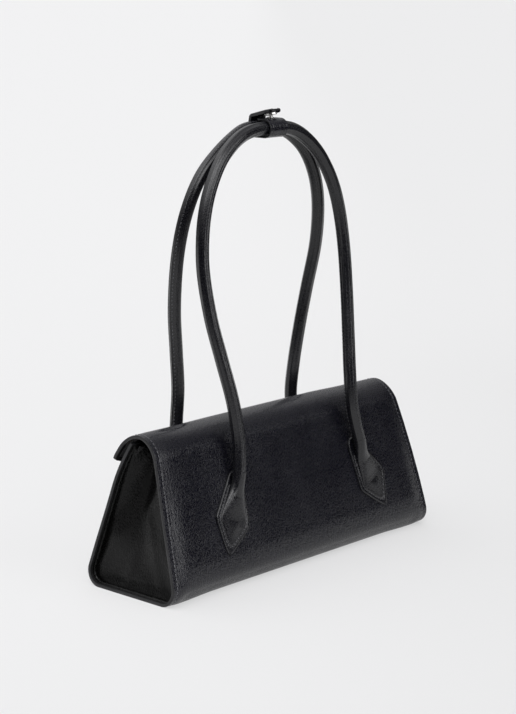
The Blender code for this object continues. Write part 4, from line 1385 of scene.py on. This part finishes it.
@dataclass
class Handle:
    """Rolled handle: a leather tube round a twisted rope."""

    section: Section
    finishes: Finishes
    side: Side
    radius: float = 5.2 * MM
    cover: float = 1.3 * MM
    half_width: float = 0.0804
    foot_drop: float = 0.0347
    standoff: float = 0.0086
    crown_height: float = 0.3337
    crown_spacing: float = 0.0112
    crown_offset: float = 0.0036
    heights: Numbers = (0.0, 0.05, 0.12, 0.22, 0.34, 0.465, 0.60, 0.71, 0.80, 0.875, 0.935, 0.982, 1.0)
    widths: Numbers = (0.886, 0.855, 0.832, 0.848, 0.908, 0.970, 1.0, 0.973, 0.90, 0.782, 0.625, 0.40, 0.165)
    front_sets: Numbers = (
        1.0, 0.955, 0.895, 0.80, 0.615, 0.419, 0.255, 0.165, 0.110, 0.066, 0.034, 0.010, 0.0)
    rear_sets: Numbers = (1.0, 1.06, 1.085, 0.975, 0.86, 0.715, 0.465, 0.272, 0.140, 0.066, 0.030, 0.008, 0.0)
    front_sways: tuple[Numbers, ...] = (
        (4.3, 3.4, 1.8, 0.3, -0.1, -0.2, -0.1, 0.3, 0.6, 0.8, 0.5, 0.0, 0.0),
        (2.4, 1.6, 0.8, 0.3, 0.1, 0.0, 0.0, 0.0, 0.0, -0.4, -0.6, -0.3, 0.0))
    rear_sways: tuple[Numbers, ...] = (
        (1.2, 1.3, 1.5, 2.0, 2.6, 2.7, 1.8, 1.1, 1.4, 2.2, 4.6, 5.0, 1.4),
        (0.0, 0.0, -0.1, -0.6, -1.5, -1.7, -0.9, -0.6, -0.3, 0.0, 0.0, 0.0, 0.0))
    rear_sag: Numbers = (0.0, 0.0, 0.0, 0.0, 0.0, 0.0, 0.0, 0.0, 0.0, -0.8, -1.8, -1.5, -0.3)
    creases: tuple[Numbers, ...] = ((0.17, 8, 0.9, 21), (0.09, 13, 1.2, 17))
    flat: float = 0.18 * MM
    flat_count: int = 4
    flat_sway: float = 0.6
    flat_pace: float = 25.0
    furrow: float = 0.55 * MM
    furrow_width: float = 0.5 * MM
    furrow_lip: float = 0.16 * MM
    lip_place: float = 1.1 * MM
    lip_width: float = 0.9 * MM
    slack: float = 0.12 * MM
    seam_angle: float = math.radians(97.0)
    seam_shift: float = 1.5 * MM
    root_start: float = 0.5 * MM
    root_end: float = 17.0 * MM
    rope_gap: float = 0.9 * MM
    rope_twist: float = 220.0
    strands: int = 3
    strand_share: float = 0.14
    rope_sides: int = 24
    sides: int = 40

    @property
    def foot_height(self) -> float:
        """Height of the handle's feet."""
        return self.section.height - self.foot_drop

    @property
    def foot_y(self) -> float:
        """Place of the feet in front of or behind the bag."""
        return float(self.section.wall(self.side, self.foot_height)[0]) + self.side * self.standoff

    def route(self, steps: int = 14) -> Array:
        """Middle line from the left foot over the crown to the right foot, through the solid's points."""
        in_front = self.side == Side.FRONT
        sets = np.array(self.front_sets if in_front else self.rear_sets)
        sways = self.front_sways if in_front else self.rear_sways
        crown_y = self.crown_offset + self.side * self.crown_spacing / 2
        y = crown_y + sets * (self.foot_y - crown_y)
        z = self.foot_height + np.array(self.heights) * (self.crown_height - self.foot_height)
        half = np.stack((-np.array(self.widths) * self.half_width, y, z), 1)
        legs = np.concatenate((half, half[::-1] * (-1, 1, 1)))
        legs[:, 0] += np.array(sways[0] + sways[1][::-1]) * MM
        if not in_front:
            legs[:len(half), 2] += np.array(self.rear_sag) * MM
        return through(legs, steps)

    def frames(self, route: Array) -> Pair:
        """Directions away from the bag's middle plane, and across that one and the route."""
        along = unit(np.gradient(route, axis=0))
        away = np.array((0.0, float(self.side), 0.0))
        out = unit(away - (along @ away)[:, None] * along)
        return out, np.cross(along, out)

    def girth(self, angle: Array, run: Array) -> Array:
        """Radius round the tube: slight flats, long soft creases and the furrow of the closing seam.

        A crease is height * sin(count * angle + sway * sin(pace * run)). The furrow is a bell across the
        seam, with one lip a little higher than the other.
        """
        swing = self.flat_sway * np.sin(run * self.flat_pace)
        flats = self.flat * np.cos(self.flat_count * (angle - self.seam_angle) + swing)
        creases = sum(height * MM * np.sin(count * angle + sway * np.sin(run * pace))
                      for height, count, sway, pace in self.creases)
        turn = (angle - self.seam_angle + math.pi) % (2 * math.pi) - math.pi
        away = turn * self.radius
        furrow = self.furrow * hump(away, self.furrow_width)
        lip = self.furrow_lip * hump(away - self.lip_place, self.lip_width)
        return self.radius - self.slack + flats + creases - furrow + lip

    def tube(self) -> Surface:
        """Outer face of the cover: route + girth * (cos a * out + sin a * across)."""
        route = self.route()
        run = arc_length(route)[:, None]
        angle = np.linspace(0, 2 * math.pi, self.sides, endpoint=False)[None, :] + self.seam_angle
        u = np.linspace(0, 2 * math.pi * self.radius, self.sides + 1)
        points = rings(route, *self.frames(route), angle, self.girth(angle, run))
        return Surface.grid(points, stacked(u, run), closed=True)

    def rope(self) -> Solid:
        """Three twisted strands: the radius swings three times round, and the swing turns along the route."""
        route = self.route(10)
        run = arc_length(route)[:, None]
        angle = np.linspace(0, 2 * math.pi, self.rope_sides, endpoint=False)[None, :]
        core = self.radius - self.cover - self.rope_gap
        swing = np.abs(np.cos(self.strands / 2 * (angle + run * self.rope_twist)))
        girth = core * (1 - self.strand_share + self.strand_share * swing)
        u = np.linspace(0, 2 * math.pi * core, self.rope_sides + 1)
        return Solid.loft(rings(route, *self.frames(route), angle, girth), stacked(u, run))

    def seam(self) -> Pair:
        """Path and normals of the stitches beside the closing seam."""
        route = self.route()
        out, across = self.frames(route)
        angle = self.seam_angle + self.seam_shift / self.radius
        normal = math.cos(angle) * out + math.sin(angle) * across
        girth = self.girth(np.full(len(route), angle), arc_length(route)) - self.slack
        return route + normal * girth[:, None], normal

    def root(self) -> dict[str, Triple]:
        """Start and end of the bend above the tabs."""
        z, y = self.foot_height, self.foot_y
        return {"start": (0.0, y, z + self.root_start), "end": (0.0, y, z + self.root_end)}

    def build(self) -> None:
        """Make the cover, its stitching and the rope inside."""
        word = self.side.word
        body = Body.FRONT_HANDLE if self.side == Side.FRONT else Body.REAR_HANDLE
        slots = [self.finishes.smooth, self.finishes.edge, self.finishes.suede]
        tube = self.tube().shell(self.cover, rim_steps=2, roundness=0.1)
        cover = tube.piece(f"{word}_handle_leather", slots)
        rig.replaces(cover, f"{word}_handle_cover")
        rope = self.rope().piece(f"{word}_handle_rope", [self.finishes.rope])
        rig.replaces(rope, f"{word}_handle_core")
        stitches = StitchRow(pitch=3.0 * MM, length=2.1 * MM, radius=0.22 * MM)
        stitches = stitches.along(*self.seam(), clear=4 * MM)
        row = stitches.piece(f"{word}_handle_stitching", [self.finishes.thread])
        for item in (cover, rope, row):
            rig.blend(item, Body.BAG.value, body.value, **self.root())
        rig.slot(cover, "handle_leather")
        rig.slot(rope, "rope_core")


@dataclass
class Tab:
    """Diamond tab that the rolled handle grows out of: a stitched plate with a roll that spreads over it."""

    handle: Handle
    finishes: Finishes
    hand: End
    half_width: float = 17.9 * MM
    point_length: float = 29.6 * MM
    shoulder_length: float = 41.0 * MM
    tongue: float = 40.0 * MM
    tongue_round: float = 6.0 * MM
    tongue_slope: float = 1.2 * MM
    point_round: float = 3.0 * MM
    point_rows: float = 3.0 * MM
    narrow: float = 2.2 * MM
    narrowest: float = 0.05 * MM
    side_round: float = 1.6 * MM
    thickness: float = 2.2 * MM
    lift: float = 1.2 * MM
    lift_fall: float = 0.7 * MM
    point_fall: float = 1.0 * MM
    border: float = 0.10 * MM
    border_inset: float = 1.3 * MM
    border_width: float = 1.0 * MM
    furrow: float = 0.6 * MM
    furrow_width: float = 0.5 * MM
    furrow_fade: float = 3.0 * MM
    dome: float = 1.0 * MM
    dome_range: Span = (2.9 * MM, 12.0 * MM)
    lift_range: Span = (5.0 * MM, 36.0 * MM)
    centre_drop: float = 0.0703
    outset: float = 0.0112
    front_shift: float = 3.6 * MM
    rear_shift: float = 0.5 * MM
    tilt: float = math.radians(23.0)
    seam_inset: float = 2.7 * MM
    seam_end: float = 26.0 * MM
    seam_sink: float = 0.05 * MM
    back_sink: float = 0.3 * MM
    roll_inset: float = 4.0 * MM
    roll_centre: float = 3.7 * MM
    roll_gap: float = 0.06 * MM
    roll_blend: float = 1.2 * MM
    roll_share: float = 0.7
    bend_start: float = 18.0 * MM
    stations: Numbers = (-2.5, 0.0, 2.0, 4.0, 6.0, 8.0, 12.0, 16.0, 20.0, 24.0, 28.0, 32.0, 36.0)
    rises: Numbers = (0.3, 0.62, 0.88, 1.2, 1.55, 1.95, 2.75, 3.5, 4.1, 4.45, 4.8, 5.05, 5.14)
    depths: Numbers = (1.5, 1.5, 1.5, 1.5, 1.5, 1.5, 1.6, 1.7, 2.1, 2.9, 3.9, 4.8, 5.14)
    squareness: Numbers = (2.5, 2.5, 2.5, 2.5, 2.5, 2.45, 2.4, 2.35, 2.3, 2.2, 2.1, 2.0, 2.0)
    tip_rows: Numbers = (0.02, 0.08, 0.2, 0.4, 0.7, 1.1, 1.6, 2.2)
    edge_insets: Numbers = (0.0, 0.0, 0.08, 0.28, 0.62, 1.1)
    edge_steps: Numbers = (0.0, 0.55, 0.80, 0.94, 0.99, 1.0)
    columns: int = 61

    def frame(self) -> Pair:
        """Middle of the tab on the wall, and its directions across, up the tab and out of the wall."""
        section = self.handle.section
        side = self.handle.side
        lean = section.lean(side)
        y, z = section.wall(side, section.height - self.centre_drop)
        x = self.hand * (self.handle.half_width * self.handle.widths[0] + self.outset)
        x += self.front_shift if side == Side.FRONT else self.rear_shift
        out = np.array((0.0, side * math.cos(lean), math.sin(lean)))
        up = np.array((0.0, -side * math.sin(lean), math.cos(lean)))
        along = np.array((-self.hand * math.sin(self.tilt), 0.0, 0.0)) + up * math.cos(self.tilt)
        return np.array((x, y, z)), np.stack((np.cross(along, out), along, out))

    def tip(self, inset: float = 0.0) -> float:
        """Place along the tab of its rounded point, or of a line inside its edge."""
        size = math.hypot(self.point_length, self.half_width)
        return (self.point_length * self.point_round + inset * size) / self.half_width - self.point_length

    def outline(self, along: Array, inset: float = 0.0) -> Array:
        """Half width at a place along the tab, out to its edge or to a line inside the edge.

        The lower edges are a hyperbola: sqrt(line^2 - point round^2), where the line rises from the point in
        proportion to the half width. The upper edges are straight, and the two meet in a rounded corner.
        """
        size = math.hypot(self.point_length, self.half_width)
        line = (self.half_width * (along + self.point_length) - inset * size) / self.point_length
        lower = np.sqrt(np.maximum(line**2 - self.point_round**2, 0.0)) * (line > 0)
        rise, length = self.half_width - self.handle.radius, self.shoulder_length
        upper = self.half_width - (rise * along + inset * math.hypot(length, rise)) / length
        return np.maximum(-join_smoothly(-lower, -upper, self.side_round), self.narrowest)

    def margin(self, across: Array, along: Array) -> Array:
        """Distance inwards from the nearer outline edge."""
        lower = np.array((self.point_length, self.half_width))
        rounded = np.sqrt(across**2 + self.point_round**2)
        lower_gap = (lower[1] * (along + self.point_length) - lower[0] * rounded) / np.hypot(*lower)
        rise = self.half_width - self.handle.radius
        upper_gap = self.shoulder_length * (self.half_width - np.abs(across)) - rise * along
        upper_gap = upper_gap / math.hypot(self.shoulder_length, rise)
        return -join_smoothly(-lower_gap, -upper_gap, self.side_round)

    def level(self, across: Array, along: Array) -> Array:
        """Height of the plate's face above the wall: a crowned border, a stitched furrow and a low dome."""
        gap = self.margin(across, along)
        border = self.border * hump(gap - self.border_inset, self.border_width)
        furrow = self.furrow * hump(gap - self.seam_inset, self.furrow_width)
        furrow = furrow * (1 - ease(along, self.seam_end, self.seam_end + self.furrow_fade))
        dome = self.dome * ease(gap, *self.dome_range)
        lift = self.lift - self.lift_fall * ease(along, *self.lift_range)
        lift = lift - self.point_fall * np.clip(-along / self.point_length, 0, 1)
        return lift + self.thickness + border - furrow + dome

    def plate(self) -> Solid:
        """Flat leather from the point to the tongue under the tube.

        Each section goes round the plate's edge, over its face and back along the wall. The tongue's end is
        a quarter ellipse: width * sqrt(1 - t^2).
        """
        origin, axes = self.frame()
        first = self.tip() + np.array(self.tip_rows) * MM
        last = self.tongue - self.tongue_round * (1 - np.sin(np.linspace(0, math.pi / 2, 9)[1:]))
        middle = np.linspace(self.tip() + self.point_rows, self.tongue - self.tongue_round, 72)
        at = np.concatenate((first, middle, last))
        start = self.tongue_round * math.sin(math.pi / 16)
        t = np.clip((at - last[0] + start) / self.tongue_round, 0, 0.9999)
        width = self.outline(at) * np.sqrt(1 - t * t)
        inset = np.array(self.edge_insets) * MM
        step = np.array(self.edge_steps)
        fit = np.minimum(1.0, width / self.narrow)[:, None]
        inner = width[:, None] - inset[None] * fit
        fill = np.linspace(1, -1, self.columns + 2)[None, 1:-1] * inner[:, -1:]
        top = np.concatenate((inner, fill, -inner[:, ::-1]), 1)
        scale = np.concatenate((step, np.ones(self.columns), step[::-1]))[None]
        ends = np.minimum(1.0, 0.25 + (self.tongue - at) / self.tongue_slope)[:, None]
        height = self.level(top, at[:, None]) * scale * ends
        low = np.linspace(-1, 1, 22)[None, 1:-1] * width[:, None]
        across = np.concatenate((top, low), 1)
        height = np.concatenate((height, np.full_like(low, -self.back_sink)), 1)
        local = stacked(across, at[:, None], height)
        u = np.concatenate((across, across[:, :1]), 1)
        return Solid.loft(origin + local @ axes, stacked(u, at[:, None]))

    def spine(self, at: Array) -> Pair:
        """Middle of each section of the roll in the tab's own directions, and the way on from it.

        It runs straight up the plate, and then in a cubic (Hermite) curve to the handle's foot and direction.
        """
        origin, axes = self.frame()
        route = self.handle.route()
        foot, after = (route[0], route[1]) if self.hand < 0 else (route[-1], route[-2])
        end = axes @ (foot - origin)
        way = axes @ unit(after - foot)
        begin = np.array((0.0, self.bend_start, self.roll_centre))
        length = np.linalg.norm(end - begin)
        t = np.clip((at - begin[1]) / (end[1] - begin[1]), 0, 1)[:, None]
        first, last = np.array((0.0, 1.0, 0.0)) * length, way * length
        curve = (2 * t**3 - 3 * t**2 + 1) * begin + (t**3 - 2 * t**2 + t) * first
        curve = curve + (3 * t**2 - 2 * t**3) * end + (t**3 - t**2) * last
        straight = np.stack((np.zeros_like(at), at, np.full_like(at, self.roll_centre)), 1)
        path = np.where(t > 0, curve, straight)
        tangent = unit(np.where(t > 0, np.gradient(path, axis=0), np.array((0.0, 1.0, 0.0))))
        path[-1], tangent[-1] = end, way
        return path, tangent

    def roll(self) -> Solid:
        """Rolled leather from the middle of the plate to the handle's foot.

        Each section is a squared ellipse: width * cos^(2/n) across, rise * sin^(2/n) above its middle and
        depth * sin below it. Down the plate it spreads to the seam and sinks into the face. At the foot it is
        the tube.
        """
        origin, axes = self.frame()
        route = self.handle.route()
        foot = float((axes @ (route[0 if self.hand < 0 else -1] - origin))[1])
        at = np.linspace(self.stations[0] * MM, foot, 76)
        path, tangent = self.spine(at)
        up = np.array((0.0, 0.0, 1.0))
        above = unit(up - (tangent @ up)[:, None] * tangent)
        beside = np.cross(tangent, above)
        station = np.array(self.stations) * MM * (foot / (self.stations[-1] * MM))
        rise = np.interp(at, station, np.array(self.rises) * MM)[:, None]
        depth = np.interp(at, station, np.array(self.depths) * MM)[:, None]
        power = 2 / np.interp(at, station, self.squareness)[:, None]
        radius = self.handle.radius - self.roll_gap
        width = join_smoothly(self.outline(at) - self.roll_inset, np.full_like(at, radius), self.roll_blend)
        width = (width + (radius - width) * ease(at, self.roll_share * foot, foot))[:, None]
        angle = np.linspace(0, 2 * math.pi, 60, endpoint=False)[None]
        cos, sin = np.cos(angle), np.sin(angle)
        across = width * np.sign(cos) * np.abs(cos) ** power
        height = np.where(sin > 0, rise * np.maximum(sin, 0) ** power, depth * sin)
        local = path[:, None] + beside[:, None] * across[..., None] + above[:, None] * height[..., None]
        u = np.concatenate((across, across[:, :1]), 1)
        return Solid.loft(origin + local @ axes, stacked(u, at[:, None]))

    def seam(self) -> Pair:
        """Path and normals of the seam round the tab, from one shoulder round the point to the other."""
        share = np.linspace(0, 1, 80)
        along = self.tip(self.seam_inset) + share**1.6 * (self.seam_end - self.tip(self.seam_inset))
        across = self.outline(along, self.seam_inset) * (share > 0)
        flat = np.concatenate((np.stack((across, along), 1)[::-1], np.stack((-across, along), 1)[1:]))
        level = self.level(flat[:, 0], flat[:, 1]) - self.seam_sink
        origin, axes = self.frame()
        points = origin + np.column_stack((flat, level)) @ axes
        return points, np.tile(axes[2], (len(points), 1))

    def build(self) -> None:
        """Make the tab and its stitching."""
        word = f"{self.handle.side.word}_tab_{self.hand.word}"
        tab = self.plate().joined(self.roll()).piece(word + "_leather", [self.finishes.tab], sharp=70.0)
        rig.replaces(tab, word)
        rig.slot(tab, "handle_leather")
        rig.ride(tab, Body.BAG.value)
        row = StitchRow(pitch=2.9 * MM, length=2.1 * MM, radius=0.24 * MM).along(*self.seam())
        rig.ride(row.piece(word + "_stitching", [self.finishes.thread]), Body.BAG.value)


@dataclass
class Keeper:
    """Strap that ties the two handles together at the crown and closes with a press stud."""

    handle: Handle
    finishes: Finishes
    width: float = 19.0 * MM
    offset: float = 4.0 * MM
    thickness: float = 1.4 * MM
    end_thickness: float = 2.7 * MM
    fold_thickness: float = 2.2 * MM
    clearance: float = 0.6 * MM
    lap: float = 6.2 * MM
    bend_radius: float = 3.4 * MM
    bend_height: float = 7.2 * MM
    bend_shift: float = 1.6 * MM
    tab_width: float = 16.6 * MM
    narrow_shares: Span = (0.55, 0.9)
    tab_length: float = 16.2 * MM
    tab_rise: float = math.radians(14.5)
    corner: float = 3.6 * MM
    line_depth: float = 0.25 * MM
    line_inset: float = 1.9 * MM
    line_width: float = 0.6 * MM
    border: float = 0.1 * MM
    border_inset: float = 0.9 * MM
    row_step: float = 0.7 * MM
    close_rows: Numbers = (0.1, 0.3, 0.6, 1.0, 1.5, 2.1, 2.8)
    bend_reach: float = 2.0 * MM

    @property
    def outer(self) -> float:
        """Distance of the strap's outer face from the middle of a tube."""
        return self.handle.radius + self.clearance + self.thickness

    def middle(self, side: Side) -> Array:
        """Middle (y, z) of a tube at the crown."""
        y = self.handle.crown_offset + side * self.handle.crown_spacing / 2
        return np.array((y, self.handle.crown_height))

    def round_tube(self, centre: Array, radius: float, start: float, end: float, steps: int) -> Array:
        """Points (y, z) on an arc."""
        angle = np.linspace(start, end, steps + 1)
        return centre + radius * np.stack((np.cos(angle), np.sin(angle)), 1)

    def strap(self, path: Array, thickness: Array, round_start: bool, round_end: bool,
              start_width: float | None = None) -> Solid:
        """Strap along a path whose outer face lies to its left, with rounded corners where it ends free.

        At a distance d from a free end, a corner takes r - sqrt(r^2 - (r - d)^2) from each side of the width.
        A pressed line runs beside each edge, with a low border outside it. The start may be narrower.
        """
        length = arc_length(path)[-1]
        even = np.linspace(0, length, max(3, int(length / self.row_step)))
        close = np.array(self.close_rows) * MM
        fine = np.unique(np.concatenate((even, close, length - close)))
        fine = fine[(fine >= 0) & (fine <= length)]
        rows = sample(path, path, fine)
        thick = np.interp(fine, np.linspace(0, length, len(thickness)), thickness)
        cut = np.zeros(len(fine))
        for distance, wanted in ((fine, round_start), (length - fine, round_end)):
            if wanted:
                inside = np.clip(self.corner - distance, 0, self.corner)
                cut = np.maximum(cut, self.corner - np.sqrt(self.corner**2 - inside**2 + 1e-12))
        less = (self.width - (start_width or self.width)) / 2
        narrowing = 1 - ease(fine, *(share * length for share in self.narrow_shares))
        half = (self.width / 2 - cut - less * narrowing)[:, None]
        x = self.offset + half * np.linspace(-1, 1, 25)[None]
        edge = half - np.abs(x - self.offset)
        normal = unit(np.gradient(rows, axis=0))[:, ::-1] * (-1, 1)
        line = self.line_depth * hump(edge - self.line_inset, self.line_width)
        sink = line - self.border * hump(edge - self.border_inset, self.line_width)
        place = rows[:, None] - normal[:, None] * sink[..., None]
        points = np.concatenate((x[..., None], place), -1)
        sheet = Surface.grid(points, stacked(x, fine[:, None]))
        return sheet.shell(np.repeat(thick, x.shape[1]), rim_steps=4)

    def build(self) -> None:
        """Make the strap's three stretches: round the front tube, below the gap, and round the rear tube."""
        outer = self.outer
        front, rear = self.middle(Side.FRONT), self.middle(Side.REAR)
        gap_y = self.handle.crown_offset
        low = self.handle.crown_height - outer
        before, after = gap_y - self.bend_reach, gap_y + self.bend_reach
        lap = np.array(((gap_y + self.lap / 2, self.handle.crown_height + outer),))
        round_front = self.round_tube(front, outer, math.pi / 2, math.pi * 1.5, 30)
        band_path = np.concatenate((lap, round_front, ((before, low),)))
        bend_path = np.array(((before, low), (gap_y, low), (after, low)))
        centre = np.array((rear[0] + outer - self.bend_radius - self.bend_shift, rear[1] + self.bend_height))
        turn = self.round_tube(centre, self.bend_radius, 0.0, math.pi / 2 - self.tab_rise, 12)
        way = np.array((-math.cos(self.tab_rise), math.sin(self.tab_rise)))
        tip = turn[-1] + way * self.tab_length
        round_rear = self.round_tube(rear, outer, -math.pi / 2, 0.0, 16)
        tab_path = np.concatenate((((after, low),), round_rear, turn, tip[None]))
        slots = [self.finishes.pebbled, self.finishes.edge, self.finishes.tab]
        even = np.full(2, self.thickness)
        band = self.strap(band_path[::-1], even, False, True).piece("keeper_loop_leather", slots)
        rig.replaces(band, "keeper_band")
        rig.ride(band, Body.FRONT_HANDLE.value)
        bend = self.strap(bend_path[::-1], even, False, False)
        thinning = np.array((*[self.end_thickness] * 2, self.fold_thickness, *[self.thickness] * 2))
        tab = self.strap(tab_path[::-1], thinning, True, False, self.tab_width)
        tab_piece = tab.piece("keeper_tab_leather", slots)
        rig.replaces(tab_piece, "keeper_tab")
        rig.ride(tab_piece, Body.KEEPER_TAB.value)
        bend_piece = bend.piece("keeper_bend_leather", slots)
        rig.blend(bend_piece, Body.FRONT_HANDLE.value, Body.KEEPER_TAB.value, start=(0.0, before, low),
                 end=(0.0, after, low))
        for item in (band, tab_piece, bend_piece):
            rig.slot(item, "handle_leather")


@dataclass
class HiddenParts:
    """Solids that stay as the frame has them: boards, magnets and the press stud, with fuller finishes."""

    finishes: Finishes

    def build(self) -> None:
        """Give each solid its finish."""
        chosen = {
            self.finishes.board: [f"{place}_board" for place in ("front", "rear", "base", "flap")],
            self.finishes.magnet: [f"{place}_magnet_{end.word}" for place in ("wall", "flap") for end in End],
            self.finishes.steel: ["snap_stud", "snap_socket"],
        }
        for finish, names in chosen.items():
            for name in names:
                mesh = frame["nodes"][name].data
                mesh.materials.clear()
                mesh.materials.append(finish)
                log.info("%s keeps its solid", name)


@dataclass(frozen=True)
class Glow:
    """Soft field in the sky: full inside the inner cosine, and nothing outside the outer one."""

    towards: Triple
    outer: float
    inner: float
    strength: float


@dataclass
class Studio:
    """Pale floor, soft lights and the camera."""

    yaw: float = math.radians(47.7)
    pitch: float = math.radians(11.6)
    roll: float = math.radians(0.08)
    distance: float = 1.532285
    target: Triple = (0.02236, 0.02942, 0.14964)
    focal_pixels: float = 1931.757
    frame_height: float = 714.0
    sensor: float = 36.0
    far: float = 200.0
    floor_reach: float = 60.0
    floor_tone: float = 0.80
    floor_blue: float = 1.004
    floor_dim: float = 0.955
    floor_across: Span = (0.674, 0.739)
    floor_fade: Span = (-0.15, 0.35)
    floor_level: float = 1.015
    floor_share: float = 0.68
    room: float = 0.07
    room_colour: Triple = (0.985, 0.985, 1.0)
    glows: tuple[Glow, ...] = (
        Glow((-0.15, 0.10, 1.00), 0.25, 0.92, 0.74), Glow((0.30, 0.75, 0.60), 0.60, 0.92, 0.55),
        Glow((0.24, -0.93, 0.27), 0.88, 0.97, 3.30), Glow((-0.45, -0.50, 0.72), 0.91, 0.975, 3.40))
    card_colour: Triple = (0.015, 0.015, 0.016)
    card_distance: float = 1.0
    card_heights: Span = (0.004, 0.5)
    card_thickness: float = 0.004
    card_spans: tuple[Span, ...] = ((-172.0, -112.0), (-82.0, -14.0))
    sun_strength: float = 0.9
    sun_width: float = math.radians(70.0)
    sun_back: Triple = (-0.5, 0.35, 1.0)

    def camera(self) -> None:
        """Set the camera at the photograph's place, turned by yaw, pitch and roll about the target."""
        flat = math.cos(self.pitch)
        back = Vector((-math.sin(self.yaw) * flat, -math.cos(self.yaw) * flat, math.sin(self.pitch)))
        level = (-back).cross(Vector((0, 0, 1))).normalized()
        upright = level.cross(-back)
        right = math.cos(self.roll) * level + math.sin(self.roll) * upright
        up = math.cos(self.roll) * upright - math.sin(self.roll) * level
        data = bpy.data.cameras.new("camera")
        data.sensor_width = self.sensor
        data.lens = self.focal_pixels * self.sensor / self.frame_height
        data.clip_end = self.far
        item = linked("camera", data)
        turn = Matrix((right, up, back)).transposed().to_4x4()
        item.matrix_world = Matrix.Translation(Vector(self.target) + back * self.distance) @ turn
        bpy.context.scene.camera = item

    def floor(self) -> None:
        """Lay a wide pale floor that dims a little across the picture.

        Camera, glossy and transmission rays see a share of it by its own tone, the rest by the light on it.
        """
        s = Shader("studio_floor")
        parts = s.node("SeparateXYZ", {0: s.place(Map.OBJECT)}).outputs
        x_share, y_share = self.floor_across
        across = s.maths("SUBTRACT", s.times(parts[0], x_share), s.times(parts[1], y_share))
        full, dim = ((t, t, t * self.floor_blue) for t in (self.floor_tone, self.floor_tone * self.floor_dim))
        colour = s.mix(s.span(across, *self.floor_fade), full, dim)
        s.fill(s.surface, {"Base Color": colour, "Roughness": 1.0, "Specular IOR Level": 0.0})
        seen = s.node("LightPath", {}).outputs
        rays = s.add(s.add(seen["Is Camera Ray"], seen["Is Glossy Ray"]), seen["Is Transmission Ray"])
        own = s.node("Emission", {"Color": colour, "Strength": self.floor_level}).outputs[0]
        share = s.times(rays, self.floor_share)
        both = s.node("MixShader", {0: share, 1: s.surface.outputs[0], 2: own}).outputs[0]
        s.put(s.tree.nodes["Material Output"].inputs["Surface"], both)
        mesh = bpy.data.meshes.new("studio_floor")
        reach = self.floor_reach
        corners_xy = ((-1, -1), (1, -1), (1, 1), (-1, 1))
        mesh.from_pydata([(x * reach, y * reach, 0) for x, y in corners_xy], [], [(0, 1, 2, 3)])
        mesh.materials.append(s.material)
        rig.stage(linked("studio_floor", mesh))

    def world(self) -> None:
        """Surround the bag with a pale room that has four soft bright fields.

        The strength is the room's own plus, for each field, its strength times a smooth step of the cosine
        between its direction and the place in the sky.
        """
        world = bpy.data.worlds.new("studio_room")
        world.use_nodes = True
        room = Nodes(world.node_tree)
        sky = room.node("TexCoord", {}).outputs["Generated"]
        total = self.room
        for glow in self.glows:
            inputs = {0: sky, 1: Vector(glow.towards).normalized()}
            facing = room.node("VectorMath", inputs, operation="DOT_PRODUCT").outputs["Value"]
            total = room.add(room.span(facing, glow.outer, glow.inner, 0.0, glow.strength), total)
        room.fill(room.tree.nodes["Background"], {"Color": (*self.room_colour, 1.0), "Strength": total})
        bpy.context.scene.world = world

    def cards(self) -> None:
        """Stand two curved black cards, which the camera doesn't see, round the bag for dark reflections."""
        s = Shader("black_card")
        colour = (*self.card_colour, 1.0)
        s.fill(s.surface, {"Base Color": colour, "Roughness": 1.0, "Specular IOR Level": 0.0})
        for number, (start, end) in enumerate(self.card_spans, 1):
            angle = np.radians(np.linspace(start, end, 31))[None]
            around = self.card_distance * np.stack((np.cos(angle), np.sin(angle)), -1) * np.ones((2, 1, 1))
            height = stacked(np.array(self.card_heights)[:, None], angle)[..., :1]
            card = Surface.grid(np.concatenate((around, height), -1), around)
            card = card.shell(self.card_thickness, rim_steps=2)
            item = card.piece(f"black_card_{number}", [s.material] * 3)
            item.visible_camera = False
            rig.stage(item)

    def sun(self) -> None:
        """Add a very wide sun, which lights the whole floor alike."""
        data = bpy.data.lights.new("wide_sun", "SUN")
        data.energy = self.sun_strength
        data.angle = self.sun_width
        item = linked("wide_sun", data)
        item.rotation_mode = "QUATERNION"
        item.rotation_quaternion = Vector(self.sun_back).to_track_quat("Z", "Y")

    def build(self) -> None:
        """Set up the whole studio."""
        for part in (self.camera, self.floor, self.world, self.cards, self.sun):
            part()
        bpy.context.scene.view_settings.view_transform = "Standard"


def main() -> None:
    """Build the studio and the bag, and write down both sizes."""
    logging.basicConfig(level=logging.INFO, format="%(name)s: %(message)s")
    Studio().build()
    finishes = Finishes()
    wrap = Wrap(SECTION, finishes)
    wrap.build()
    Lining(SECTION, finishes, wrap).build()
    for end in End:
        Gusset(SECTION, finishes, end).build()
    for side in Side:
        handle = Handle(SECTION, finishes, side)
        handle.build()
        for hand in End:
            Tab(handle, finishes, hand).build()
        if side == Side.FRONT:
            Keeper(handle, finishes).build()
    HiddenParts(finishes).build()
    boxes = {"frame": [list(c) for c in frame_box], "visual": [list(c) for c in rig.bounds()]}
    with open("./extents.json", "w", encoding="utf-8") as out:
        json.dump(boxes, out)


if __name__ == "__main__":
    main()
